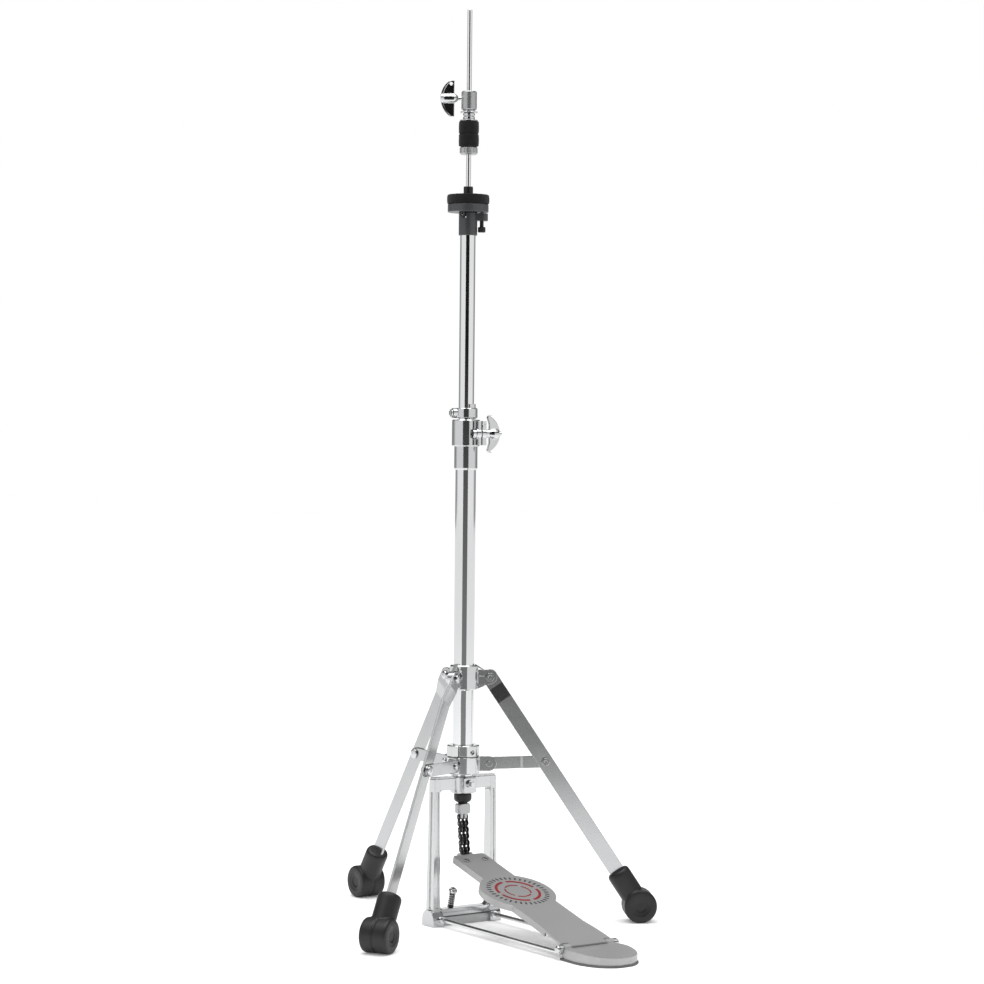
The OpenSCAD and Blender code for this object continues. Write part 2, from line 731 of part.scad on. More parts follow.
module upper_hub() {
    z0 = upper_pivot_z - 15.6;
    z1 = upper_pivot_z + 15;
    color(chrome) difference() {
        union() {
            turned(upper_hub_r, z0, z1, 1.4);
            for (i = [0:2]) at_leg(i) ear(upper_pivot_z, upper_hub_r - 3, 13, leg_pivot_bolt_r);
            for (i = [0:2]) at_leg(i) lug_ribs(upper_pivot_z);
        }
        cylinder_z(lower_od / 2 + 2 * run, z0 - 1, z1 + 1);
    }
}

module leg_pivot_bolts() {
    y_out = leg_top_y + leg_t + gap;
    color(chrome) for (i = [0:2]) at_leg(i) translate([pivot_r, 0, upper_pivot_z]) {
        translate([0, -ear_t / 2 - 4, 0]) along_y(leg_pivot_bolt_r, y_out + ear_t / 2 + 4);
        translate([0, y_out, 0]) dome_head(5.4, 3.4);
        translate([0, -ear_t / 2 - 4.4, 0]) hex_nut(10, 4, leg_pivot_bolt_r - 0.5);
    }
}

module brace_pivot_bolts() {
    y_out = brace_in_y + brace_t + gap;
    color(chrome) for (i = [0:2]) at_leg(i) translate([pivot_r, 0, lower_pivot_z]) {
        translate([0, -ear_t / 2 - 3, 0]) along_y(brace_pivot_bolt_r, y_out + ear_t / 2 + 3);
        translate([0, y_out, 0]) dome_head(3.9, 2.6);
        translate([0, -ear_t / 2 - 3, 0]) along_y(3.8, 3);
    }
}

module leg_bar(i) {
    bend0 = 14;
    bend1 = 33;
    end = leg_len - bar_in_foot;
    y1 = leg_top_y + leg_t;
    color(chrome) at_leg_bar(i) difference() {
        intersection() {
            translate([0, 0, -leg_w]) linear_extrude(2 * leg_w) polygon([
                [-leg_w, leg_top_y], [bend0, leg_top_y], [bend1, -leg_t / 2], [end, -leg_t / 2],
                [end, leg_t / 2], [bend1 + 1, leg_t / 2], [bend0 + 1, y1], [-leg_w, y1]]);
            flat_plan(-20, 20) union() {
                circle(r = leg_w / 2);
                translate([0, -leg_w / 2]) square([end + 1, leg_w]);
            }
        }
        translate([0, -20, 0]) along_y(leg_pivot_bolt_r + run, 40);
        translate([brace_drop, -20, 0]) along_y(brace_bolt_r + run, 40);
    }
}

module brace(i) {
    middle = brace_len * 0.56;
    y0 = brace_in_y;
    y1 = brace_out_y;
    color(chrome) at_brace(i) difference() {
        intersection() {
            translate([0, 0, -brace_w]) linear_extrude(2 * brace_w) polygon([
                [-brace_w, y0], [middle, y0], [middle + 3, y1], [brace_len + brace_w, y1],
                [brace_len + brace_w, y1 + brace_t], [middle + 4, y1 + brace_t], [middle + 1, y0 + brace_t],
                [-brace_w, y0 + brace_t]]);
            flat_plan(-20, 20) union() {
                circle(r = brace_w / 2);
                translate([brace_len, 0]) circle(r = brace_w / 2);
                translate([0, -brace_w / 2]) square([brace_len, brace_w]);
            }
        }
        translate([0, -20, 0]) along_y(brace_pivot_bolt_r + run, 40);
        translate([brace_len, -20, 0]) along_y(brace_hole_r, 40);
    }
}

module brace_bolt(i) {
    y_out = brace_out_y + brace_t + gap;
    color(chrome) at_leg_bar(i) translate([brace_drop, 0, 0]) {
        translate([0, -leg_t / 2 - 3.4, 0]) along_y(brace_bolt_r, y_out + leg_t / 2 + 3.4);
        translate([0, y_out, 0]) dome_head(6.4, 3);
        translate([0, -leg_t / 2 - 3.6, 0]) hex_nut(9, 3.5, brace_bolt_r - 0.4);
    }
}

// a roll across the end of the bar, and a socket that takes the bar
module foot(i) {
    slot = 0.1;
    color(rubber) at_leg_bar(i) difference() {
        translate([leg_len, 0, 0]) {
            rotate([90, 0, 0]) turned(foot_d / 2, -foot_len / 2, foot_len / 2, 4);
            rotate([0, -90, 0]) turned(socket_d / 2, 0, socket_h, 3);
        }
        box(leg_len - socket_h - 1, leg_len - bar_in_foot + slot, -leg_t / 2 - slot, leg_t / 2 + slot,
            -leg_w / 2 - slot, leg_w / 2 + slot);
    }
}

// ---------------------------------------------------------------- pedal frame

// a web in the corner between an upright and a bar, hollowed to a radius
module inner_fillet(x, z, sx, sz, r) {
    half_d = upright_top_d / 2 - 1.5;
    translate([x, 0, z]) difference() {
        box(sx > 0 ? -1 : -r, sx > 0 ? r : 1, -half_d, half_d, sz > 0 ? -1 : -r, sz > 0 ? r : 1);
        translate([sx * r, -20, sz * r]) along_y(r, 40);
    }
}

// an upright that narrows upward on its outer side, its front and its back
module upright(s) {
    z0 = 6;
    in_x = frame_x - upright_w / 2;
    intersection() {
        translate([0, 20, 0]) rotate([90, 0, 0]) linear_extrude(40) polygon([
            [s * in_x, z0], [s * (in_x + upright_w), z0], [s * (in_x + upright_w), block_h],
            [s * (in_x + upright_top_w), frame_top - 4], [s * in_x, frame_top - 4]]);
        translate([-60, 0, 0]) rotate([90, 0, 90]) linear_extrude(120) polygon([
            [-upright_d / 2, z0], [upright_d / 2, z0], [upright_d / 2, block_h],
            [upright_top_d / 2, frame_top - 4], [-upright_top_d / 2, frame_top - 4],
            [-upright_d / 2, block_h]]);
    }
}

// the foot of an upright: an arched block, higher towards the front
module corner_block(s) {
    arch_r = block_d / 2;
    x0 = s > 0 ? frame_x - block_w / 2 : -frame_x - block_w / 2;
    translate([x0, 0, 0]) rotate([90, 0, 90]) linear_extrude(block_w) intersection() {
        union() {
            translate([0, block_h - arch_r]) circle(r = arch_r, $fn = 64);
            translate([-arch_r, 0]) square([block_d, block_h - arch_r]);
        }
        polygon([[-arch_r, 0], [arch_r, 0], [arch_r, block_h - 8], [upright_d / 2 - 2, block_h],
            [-arch_r, block_h]]);
    }
}

module pedal_frame() {
    top_z0 = frame_top - bar_h;
    in_x = frame_x - upright_w / 2;
    out_x = in_x + upright_top_w;
    half_d = upright_top_d / 2;
    sill_half_d = upright_d / 2 - 1.5;
    color(chrome) difference() {
        union() {
            box(-out_x, out_x, -half_d, half_d, top_z0, frame_top - 2);
            box(-out_x + 1, out_x - 1, -half_d + 1, half_d - 1, top_z0, frame_top);
            for (s = [-1, 1]) {
                upright(s);
                corner_block(s);
                inner_fillet(s * in_x, top_z0, -s, -1, 6);
                inner_fillet(s * in_x, sill_top, -s, 1, 7);
            }
            box(-in_x - 1, in_x + 1, -sill_half_d, sill_half_d, sill_top - 4.2, sill_top);
            box(-in_x - 1, in_x + 1, -sill_half_d + 1.4, sill_half_d - 1.4, sill_z0, sill_top - 4);
            turned(boss_r, boss_bottom, frame_top, 1.2);
            box(-boss_flat_half, boss_flat_half, -boss_face, 0, boss_bottom + 1, frame_top - 2);
        }
        translate([0, 0, boss_bottom - 1]) cylinder(r = rod_d / 2 + 3, h = 5);
        cylinder_z(lower_od / 2 + run, lower_tube_z0, frame_top + 1);
        translate([0, -boss_r - 2, frame_screw_z]) along_y(key_screw_r + run, 12);
        for (s = [-1, 1]) {
            // a groove down the front, the back and the outer side, each following its face
            for (t = [-1, 1]) groove(s * (in_x + upright_top_w / 2), t * upright_d / 2, 3.4, 2.4,
                t * atan2((upright_d - upright_top_d) / 2, upright_h), 0);
            groove(s * (in_x + upright_w), 0, 2.4, 4.6, 0, -s * atan2(upright_w - upright_top_w, upright_h));
            translate([s * rod_x, -block_d / 2 - 1, rod_z]) along_y(radius_rod_d / 2 + run, 11);
        }
        at_spur() cylinder_z(spur_r + run, -12, 12);
    }
}

// a long cut up to the top bar from a point on the corner block's top, leaning by two small angles
module groove(x, y, w, d, lean_x, lean_y) {
    translate([x, y, block_h]) rotate([lean_x, lean_y, 0])
        translate([-w / 2, -d / 2, 2]) cube([w, d, upright_h - bar_h]);
}

module base_channel() {
    half = frame_x - block_w / 2 - 0.1;
    z1 = sill_z0 - 0.05;
    color(satin) difference() {
        box(-half, half, -9, 11.5, 0, z1);
        box(-half - 1, half + 1, -6.6, 9.1, 2.4, z1 + 1);
        at_spur() cylinder_z(spur_r + 1, -30, 12);
    }
}

module at_spur() translate([spur_x, 0, sill_top]) rotate([spur_lean, 0, 0]) children();

module spur_screw() {
    color("#77797B") at_spur() {
        cylinder_z(spur_r, -17, 20.6);
        translate([0, 0, -19.2]) cylinder(r1 = 0.8, r2 = spur_r, h = 2.3);
        translate([0, 0, 19.6]) turned(spur_head_r, 0, 4.4, 1);
        translate([-2.7, -2.7, 23]) cube([5.4, 5.4, 2.6]);
    }
}

module spur_spring() {
    color("#77797B") at_spur() coil(3.6, 0.9, 0.3, 19.3, 8, 10);
}

// two rods whose eyes carry the hinge pin, each with a nut against its corner block
module radius_rods() {
    color(chrome) for (s = [-1, 1]) translate([s * rod_x, 0, 0]) difference() {
        union() {
            translate([0, -hinge_back, rod_z]) along_y(radius_rod_d / 2, hinge_back - block_d / 2 + 9);
            translate([-radius_rod_d / 2, -hinge_back, hinge_z]) along_x(rod_eye_r, radius_rod_d);
            translate([0, -block_d / 2 - 3.8, rod_z]) along_y(4.2, 3.6);
        }
        translate([-10, -hinge_back, hinge_z]) along_x(hinge_pin_r + run, 20);
    }
}

// ---------------------------------------------------------------- heel and footboard

// plan of the heel from y0 back, grown by a margin
module heel_plan(y0, m = 0) {
    y1 = -hinge_back - heel_len - m;
    half = [for (p = [[0, 46], [1, 36], [4.5, 24], [11, 12], [20, 4.5], [28, 0.8], [33, 0]])
        [heel_half + m - p[0], y1 + p[1]]];
    polygon(concat([[heel_half + m - 1, y0]], half,
        [for (i = [len(half) - 1:-1:0]) [-half[i][0], half[i][1]]], [[1 - heel_half - m, y0]]));
}

module heel_base() {
    color(satin) linear_extrude(heel_base_t) heel_plan(1 - hinge_back, 0.8);
}

module heel_plate() {
    z0 = heel_base_t + 0.05;
    ear_w = heel_ear_out - heel_ear_in;
    color(satin) difference() {
        union() {
            translate([0, 0, z0]) linear_extrude(heel_h - z0) heel_plan(-hinge_back - heel_front);
            for (s = [-1, 1]) translate([s > 0 ? heel_ear_in : -heel_ear_out, -hinge_back, 0]) {
                translate([0, 0, hinge_z]) along_x(heel_ear_r, ear_w);
                box(0, ear_w, -heel_front - 1, 0, z0, hinge_z + 1.5);
            }
        }
        translate([-60, -hinge_back, hinge_z]) along_x(hinge_pin_r + run, 120);
        // the top falls away gently to the rear
        translate([-60, -hinge_back - 26, heel_h]) rotate([4, 0, 0])
            translate([0, -70, 0]) cube([120, 70, 12]);
    }
}

module hinge_pin() {
    x = rod_x + radius_rod_d / 2 + 0.2;
    color(chrome) translate([0, -hinge_back, hinge_z]) {
        translate([-x - 0.2, 0, 0]) along_x(hinge_pin_r, 2 * x + 0.4);
        translate([x, 0, 0]) rotate([0, 0, -90]) dome_head(4.6, 3);
        translate([-x, 0, 0]) rotate([0, 0, 90]) dome_head(4.6, 3);
    }
}

module at_board() translate([0, -hinge_back, hinge_z]) rotate([board_slope, 0, 0]) children();

// plan of the footboard from its hinge end to the toe, shrunk by a margin
module board_plan(m = 0) {
    heel_end = heel_half - 3;
    end = board_len - m;
    half = [[heel_end - m, m > 0 ? -1 : 0], [heel_end - m, 12],
        [waist_half + 2.5 - m, 32], [waist_half - m, 52],
        [waist_half - m, disc_u], [toe_half - m, disc_u],
        [toe_half - m, end - 2.5], [toe_half - 2.5 - m, end]];
    polygon(concat(half, [for (i = [len(half) - 1:-1:0]) [-half[i][0], half[i][1]]]));
    translate([0, disc_u]) circle(r = disc_r - m, $fn = 96);
}

module footboard() {
    color(satin) at_board() difference() {
        union() {
            translate([0, 0, board_z0]) linear_extrude(board_t) board_plan();
            difference() {
                translate([0, 0, board_z0 - flange_h + board_t]) linear_extrude(flange_h) intersection() {
                    board_plan();
                    translate([-100, 40]) square([200, board_len - 40]);
                }
                translate([0, 0, board_z0 - flange_h]) linear_extrude(flange_h + 0.5) board_plan(flange_t);
                // the toe end is open between the two side flanges
                box(-toe_half + flange_t, toe_half - flange_t, board_len - 10, board_len + 1,
                    board_z0 - flange_h - 1, board_z0 + 0.5);
            }
            translate([-knuckle_half, 0, 0]) along_x(knuckle_r, 2 * knuckle_half);
            box(-knuckle_half, knuckle_half, 0, 9, 0, board_z0 + 1);
            box(-knuckle_half, knuckle_half, -4.6, 1, board_z0, board_z0 + board_t);
        }
        translate([-60, 0, 0]) along_x(hinge_pin_r + run, 120);
        // the heel plate's ears stand beside the knuckle
        for (s = [-1, 1])
            translate([s > 0 ? heel_ear_in - gap : -heel_half - 5, 0, 0])
                along_x(heel_ear_r + 2 * gap, heel_half + 5 - heel_ear_in + gap);
        toe_screw_holes();
    }
}

module toe_screw_holes() {
    for (s = [-1, 1]) translate([s * toe_screw_x, board_len - 18, -5])
        cylinder(r = toe_screw_r + run, h = 20);
}

module toe_bracket() {
    u0 = board_len - 30;
    cheek_x = chain_half + 0.4;
    color(satin) at_board() difference() {
        union() {
            box(-toe_half + 5, toe_half - 5, u0, board_len - 4, board_z0 - 2.5, board_z0 - 0.02);
            for (s = [-1, 1]) translate([s > 0 ? cheek_x : -cheek_x - 2, 0, 0]) {
                translate([0, toe_reach, toe_pin_w]) along_x(4, 2);
                box(0, 2, u0, toe_reach, toe_pin_w - 4, board_z0 - 0.02);
            }
        }
        translate([-30, toe_reach, toe_pin_w]) along_x(chain_pin_r + 0.35, 60);
        box(-cheek_x, cheek_x, board_len - 8, board_len + 20, -20, 20);
        toe_screw_holes();
    }
}

module toe_screws() {
    nut_top = board_z0 - 2.55;
    color("#77797B") at_board() for (s = [-1, 1]) translate([s * toe_screw_x, board_len - 18, 0]) {
        cylinder_z(toe_screw_r, nut_top - 3.4, board_z0 + board_t + 0.1);
        difference() {
            translate([0, 0, board_z0 + board_t + 0.02]) turned(3.6, 0, 1.6, 0.6);
            translate([0, 0, board_z0 + board_t + 0.7]) cylinder(r = 1.5, h = 2, $fn = 6);
        }
        translate([0, 0, nut_top - 2.4]) cylinder(r = 3.9, h = 2.4, $fn = 6);
    }
}

// broken rings and ticks painted on the disc
module ring_band(r, w, gaps, turn, share) {
    for (i = [0:gaps - 1]) rotate([0, 0, turn + i * 360 / gaps])
        rotate_extrude(angle = 360 / gaps * share) translate([r - w / 2, 0]) square([w, 0.3]);
}

module footboard_rings() {
    color("#B03030") at_board() translate([0, disc_u, board_z0 + board_t + 0.01]) {
        ring_band(26.5, 3.4, 4, 12, 0.86);
        ring_band(15.8, 1.8, 4, 57, 0.84);
        ring_band(35.5, 6, 24, 0, 0.2);
    }
}

// ---------------------------------------------------------------- assembly

pedal_frame();
key_screws();
base_channel();
lower_tube();
tube_clamp();
tube_bush();
clamp_bolt();
rod_guide();
return_spring();
radius_rods();
heel_plate();
heel_base();
hinge_pin();
lower_collar();
lower_hub();
brace_pivot_bolts();
upper_hub();
leg_pivot_bolts();
leg_bar(0);  // leg_right
leg_bar(1);  // leg_rear
leg_bar(2);  // leg_left
foot(0);  // foot_right
foot(1);  // foot_rear
foot(2);  // foot_left
brace_bolt(0);  // brace_bolt_right
brace_bolt(1);  // brace_bolt_rear
brace_bolt(2);  // brace_bolt_left
brace(0);  // brace_right
brace(1);  // brace_rear
brace(2);  // brace_left
upper_tube();
tilter_body();
tilt_pin();
seat_disc();
seat_felt();
seat_sleeve();
tilt_screw();
memory_lock();
memory_lock_screw();
clamp_wing_nut();
upper_rod();
lower_rod();
rod_coupler();
rod_bumper();
chain_connector();
chain_plates();
chain_pins();
footboard();
toe_bracket();
toe_screws();
footboard_rings();
clutch_body();
clutch_nuts();
clutch_washers();
clutch_felts();
clutch_bottom_nut();
clutch_wing_screw();
spur_screw();
spur_spring();
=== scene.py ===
# A hi-hat stand, dressed on its frame: chrome tubes and hubs, a folding tripod on rubber feet, a
# footboard that pulls a chain, a felt seat for the bottom cymbal and a clutch for the top one.
import bmesh
import bpy
import json
import math
from mathutils import Matrix, Vector, noise


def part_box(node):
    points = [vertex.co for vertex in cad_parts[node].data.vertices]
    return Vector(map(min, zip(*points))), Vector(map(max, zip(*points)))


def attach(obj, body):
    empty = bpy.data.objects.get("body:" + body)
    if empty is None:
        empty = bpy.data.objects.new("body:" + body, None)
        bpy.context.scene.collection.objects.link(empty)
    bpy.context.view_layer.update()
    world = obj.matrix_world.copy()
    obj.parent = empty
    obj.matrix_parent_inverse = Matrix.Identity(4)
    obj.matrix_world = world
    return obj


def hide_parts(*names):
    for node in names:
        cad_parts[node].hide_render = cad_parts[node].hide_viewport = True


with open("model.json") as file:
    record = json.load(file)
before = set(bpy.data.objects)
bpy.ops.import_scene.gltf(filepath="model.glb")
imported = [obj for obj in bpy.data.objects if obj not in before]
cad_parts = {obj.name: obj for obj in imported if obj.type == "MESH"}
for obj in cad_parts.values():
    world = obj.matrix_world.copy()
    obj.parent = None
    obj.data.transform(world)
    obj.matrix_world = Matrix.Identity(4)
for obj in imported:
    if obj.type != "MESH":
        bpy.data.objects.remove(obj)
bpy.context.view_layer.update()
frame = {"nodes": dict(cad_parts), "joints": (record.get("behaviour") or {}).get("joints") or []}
mm = 0.001

# ---- Camera: a long lens at table height, a little to the player's left, looking level at the stand.
lens_mm = 97.8
camera_distance = 3.275
camera_height = 0.600
azimuth = math.radians(-34.4)
pitch = math.radians(1.23)
roll = math.radians(0.54)
yaw = math.radians(-0.567)

side_way = Vector((math.cos(azimuth), math.sin(azimuth), 0))
view_way = Vector((-math.sin(azimuth), math.cos(azimuth), 0))
upright = Vector((0, 0, 1))
camera_place = upright * camera_height - view_way * camera_distance
ahead = view_way * math.cos(yaw) - side_way * math.sin(yaw)
across = side_way * math.cos(yaw) + view_way * math.sin(yaw)
look = ahead * math.cos(pitch) - upright * math.sin(pitch)
tall = upright * math.cos(pitch) + ahead * math.sin(pitch)
right = across * math.cos(roll) + tall * math.sin(roll)
top = tall * math.cos(roll) - across * math.sin(roll)

camera = bpy.data.objects.new("camera", bpy.data.cameras.new("camera"))
camera.data.lens = lens_mm
camera.data.sensor_width = 36
camera.data.clip_start = 0.05
camera.matrix_world = Matrix.Translation(camera_place) @ Matrix((right, top, -look)).transposed().to_4x4()
bpy.context.scene.collection.objects.link(camera)
bpy.context.scene.camera = camera
bpy.context.scene.view_settings.view_transform = "Standard"

# ---- Studio: a white sweep, a broad lamp overhead, white walls with a grey step behind the stand that
# draws the edges of bright tubes, and a dark card on the near side that puts the dark stripe in them.
floor_reach = 14.0
floor_lift = 0.10
card_distance = 1.20
card_half_width = 0.59
card_top = 2.6
wall_white = 1.0
wall_shade = 0.62
wall_grey = 0.30
rail_dark = 0.10
card_foot_glow = 0.33
card_top_glow = 0.012


def linear(hex_colour):
    """The linear red, green and blue of an sRGB hex colour such as '#A9A9A9'."""
    parts = [int(hex_colour[i:i + 2], 16) / 255 for i in (1, 3, 5)]
    return [c / 12.92 if c <= 0.04045 else ((c + 0.055) / 1.055) ** 2.4 for c in parts] + [1.0]


def add(tree, kind, links=None, **settings):
    """Adds a node, sets its properties and sockets, and joins its inputs to other nodes' outputs."""
    node = tree.nodes.new(kind)
    for name, value in settings.items():
        if hasattr(node, name):
            setattr(node, name, value)
        else:
            node.inputs[name.replace("_", " ")].default_value = value
    for name, output in (links or {}).items():
        tree.links.new(output, node.inputs[name])
    return node


def blank_material(name):
    """A new material with an empty tree and its output node."""
    material = bpy.data.materials.new(name)
    material.use_nodes = True
    material.node_tree.nodes.clear()
    return material, material.node_tree, material.node_tree.nodes.new("ShaderNodeOutputMaterial")


def stage_plane(name, corners, material):
    mesh = bpy.data.meshes.new(name)
    mesh.from_pydata(corners, [], [(0, 1, 2, 3)])
    mesh.materials.append(material)
    plane = bpy.data.objects.new(name, mesh)
    bpy.context.scene.collection.objects.link(plane)
    return plane


def sweep_paint():
    """Matt white studio paint, with the faint mottling of a rolled coat."""
    material, tree, out = blank_material("sweep_paint")
    where = add(tree, "ShaderNodeNewGeometry")
    mottle = add(tree, "ShaderNodeTexNoise", {"Vector": where.outputs["Position"]}, Scale=3.0)
    tone = add(tree, "ShaderNodeMix", {"Factor": mottle.outputs["Fac"]}, data_type="RGBA")
    tone.inputs[6].default_value = linear("#FAFAFA")
    tone.inputs[7].default_value = linear("#FDFDFD")
    seen = add(tree, "ShaderNodeLightPath")
    lift = add(tree, "ShaderNodeMath", {0: seen.outputs["Is Camera Ray"]}, operation="MULTIPLY")
    lift.inputs[1].default_value = floor_lift
    paint = add(tree, "ShaderNodeBsdfPrincipled",
                {"Base Color": tone.outputs[2], "Emission Strength": lift.outputs[0]}, Roughness=0.9)
    paint.inputs["Specular IOR Level"].default_value = 0.1
    paint.inputs["Emission Color"].default_value = (1, 1, 1, 1)
    tree.links.new(paint.outputs[0], out.inputs["Surface"])
    return material


def card_cloth():
    """A black card that fades to grey at its foot, where it meets the floor's light."""
    material, tree, out = blank_material("card_cloth")
    where = add(tree, "ShaderNodeNewGeometry")
    height = add(tree, "ShaderNodeSeparateXYZ", {"Vector": where.outputs["Position"]})
    fade = add(tree, "ShaderNodeMapRange", {"Value": height.outputs["Z"]})
    fade.inputs["From Min"].default_value = 0.0
    fade.inputs["From Max"].default_value = 0.75
    fade.inputs["To Min"].default_value = card_foot_glow
    fade.inputs["To Max"].default_value = card_top_glow
    glow = add(tree, "ShaderNodeEmission", {"Strength": fade.outputs["Result"]})
    tree.links.new(glow.outputs[0], out.inputs["Surface"])
    return material


stage_plane("floor", [(-floor_reach, -floor_reach, 0), (floor_reach, -floor_reach, 0),
                      (floor_reach, floor_reach, 0), (-floor_reach, floor_reach, 0)], sweep_paint())
card_middle = -view_way * card_distance
card_edge = side_way * card_half_width
card = stage_plane("dark_card", [card_middle - card_edge, card_middle + card_edge,
                                 card_middle + card_edge + upright * card_top,
                                 card_middle - card_edge + upright * card_top], card_cloth())
card.visible_camera = False
card.visible_diffuse = False
card.visible_shadow = False
card.visible_transmission = False

walls = bpy.data.worlds.new("walls")
bpy.context.scene.world = walls
walls.use_nodes = True
walls.node_tree.nodes.clear()
tree = walls.node_tree
way = add(tree, "ShaderNodeTexCoord")
behind = add(tree, "ShaderNodeVectorMath", {0: way.outputs["Generated"]}, operation="DOT_PRODUCT")
behind.inputs[1].default_value = view_way
step_tone = add(tree, "ShaderNodeValToRGB", {"Fac": behind.outputs["Value"]})
tones = step_tone.color_ramp
tones.elements[0].position, tones.elements[0].color = 0.0, [wall_white] * 3 + [1]
tones.elements[1].position, tones.elements[1].color = 1.0, [wall_white] * 3 + [1]
for place, tone in ((0.10, wall_white), (0.26, wall_shade), (0.62, wall_grey), (0.89, wall_grey),
                    (0.955, wall_white)):
    tones.elements.new(place).color = [tone] * 3 + [1]
# A dark rail runs round the room above the walls; only curved edges and sloping faces pick it up.
level = add(tree, "ShaderNodeSeparateXYZ", {"Vector": way.outputs["Generated"]})
rail = add(tree, "ShaderNodeValToRGB", {"Fac": level.outputs["Z"]})
rail.color_ramp.elements[0].position, rail.color_ramp.elements[0].color = 0.0, (1, 1, 1, 1)
rail.color_ramp.elements[1].position, rail.color_ramp.elements[1].color = 1.0, (1, 1, 1, 1)
for place, tone in ((0.26, 1.0), (0.33, rail_dark), (0.56, rail_dark), (0.64, 1.0)):
    rail.color_ramp.elements.new(place).color = [tone] * 3 + [1]
room = add(tree, "ShaderNodeMix", {}, data_type="RGBA", blend_type="MULTIPLY")
room.inputs[0].default_value = 1.0
tree.links.new(step_tone.outputs["Color"], room.inputs[6])
tree.links.new(rail.outputs["Color"], room.inputs[7])
seen = add(tree, "ShaderNodeLightPath")
plain = add(tree, "ShaderNodeMath", {0: seen.outputs["Is Camera Ray"], 1: seen.outputs["Is Diffuse Ray"]},
            operation="MAXIMUM")
wall_tone = add(tree, "ShaderNodeMix", {"Factor": plain.outputs[0]}, data_type="RGBA")
tree.links.new(room.outputs[2], wall_tone.inputs[6])
wall_tone.inputs[7].default_value = (1, 1, 1, 1)
backdrop = add(tree, "ShaderNodeBackground", {"Color": wall_tone.outputs[2]}, Strength=1.0)
tree.links.new(backdrop.outputs[0], add(tree, "ShaderNodeOutputWorld").inputs["Surface"])

lamp = bpy.data.objects.new("overhead_lamp", bpy.data.lights.new("overhead_lamp", "AREA"))
lamp.data.size = 2.4
lamp.data.energy = 46
lamp.location = (-0.3, -0.2, 2.7)
lamp.visible_camera = False
bpy.context.scene.collection.objects.link(lamp)

# ---- Chrome: nickel and chromium plate on polished steel tube and on polished castings. It mirrors
# the room, with a trace of polishing lines and of orange peel that only shows near a highlight.
chrome_colour = "#E2E3E4"
edge_radius = 0.45 * mm


def plated(name, colour, roughness, grain_mm, ripple, line_stretch=1.0, bevel=edge_radius):
    """Polished plate of a colour, its polishing lines grain_mm apart, with rounded edges."""
    material, tree, out = blank_material(name)
    where = add(tree, "ShaderNodeTexCoord")
    lay = add(tree, "ShaderNodeMapping", {"Vector": where.outputs["Object"]})
    lay.inputs["Scale"].default_value = (1, 1, line_stretch)
    lines = add(tree, "ShaderNodeTexNoise", {"Vector": lay.outputs[0]}, Scale=1 / (grain_mm * mm), Detail=3.0)
    handled = add(tree, "ShaderNodeTexNoise", {"Vector": where.outputs["Object"]}, Scale=22.0, Detail=4.0)
    worn = add(tree, "ShaderNodeMapRange", {"Value": handled.outputs["Fac"]})
    worn.inputs["To Min"].default_value = roughness * 0.75
    worn.inputs["To Max"].default_value = roughness * 1.35
    tone = add(tree, "ShaderNodeMix", {"Factor": handled.outputs["Fac"]}, data_type="RGBA")
    tone.inputs[6].default_value = linear(colour)
    tone.inputs[7].default_value = [c * 0.93 for c in linear(colour)[:3]] + [1]
    rounded = add(tree, "ShaderNodeBevel", Radius=bevel, samples=4)
    relief = add(tree, "ShaderNodeBump", {"Height": lines.outputs["Fac"], "Normal": rounded.outputs[0]},
                 Strength=ripple, Distance=0.1 * mm)
    plate = add(tree, "ShaderNodeBsdfPrincipled",
                {"Base Color": tone.outputs[2], "Roughness": worn.outputs["Result"],
                 "Normal": relief.outputs[0]}, Metallic=1.0)
    tree.links.new(plate.outputs[0], out.inputs["Surface"])
    return material


def dress(names, material):
    """Gives CAD nodes their finish."""
    for name in names:
        for place in frame["nodes"][name].material_slots:
            place.material = material


tube_chrome = plated("tube_chrome", chrome_colour, 0.055, 1.2, 0.012, line_stretch=0.05)
casting_chrome = plated("casting_chrome", "#CDCECF", 0.09, 2.5, 0.05, bevel=0.8 * mm)
dress(["lower_tube", "upper_tube", "upper_rod", "lower_rod", "tilt_pin", "rod_coupler", "radius_rods"],
      tube_chrome)
dress(["tube_clamp", "clamp_bolt", "memory_lock", "memory_lock_screw", "lower_collar", "lower_hub",
       "upper_hub", "hinge_pin", "key_screws", "clutch_nuts", "clutch_washers"], casting_chrome)
dress(["leg_pivot_bolts", "brace_pivot_bolts"] + ["brace_bolt_" + s for s in ("right", "rear", "left")],
      casting_chrome)

# ---- Pedal frame: one die casting, tumbled and plated, so its faces are softer than the tube's.
frame_chrome = plated("frame_chrome", "#C6C7C8", 0.14, 3.0, 0.10, bevel=1.4 * mm)
dress(["pedal_frame"], frame_chrome)

# ---- Legs and braces: cold-rolled flat bar, barrel-plated, brighter along the rolled faces than a
# ground part would be but never a clear mirror.
bar_plate = plated("bar_plate", "#BBBCBD", 0.17, 1.6, 0.06, line_stretch=0.2, bevel=1.1 * mm)
dress(["leg_right", "leg_rear", "leg_left", "brace_right", "brace_rear", "brace_left"], bar_plate)

# ---- Footboard, heel plate, channel and toe bracket: pressed and cast alloy, bead-blasted and
# lacquered silver, which gives a soft even grey with a fine sparkle.
silver_lacquer_colour = "#A9A9A9"


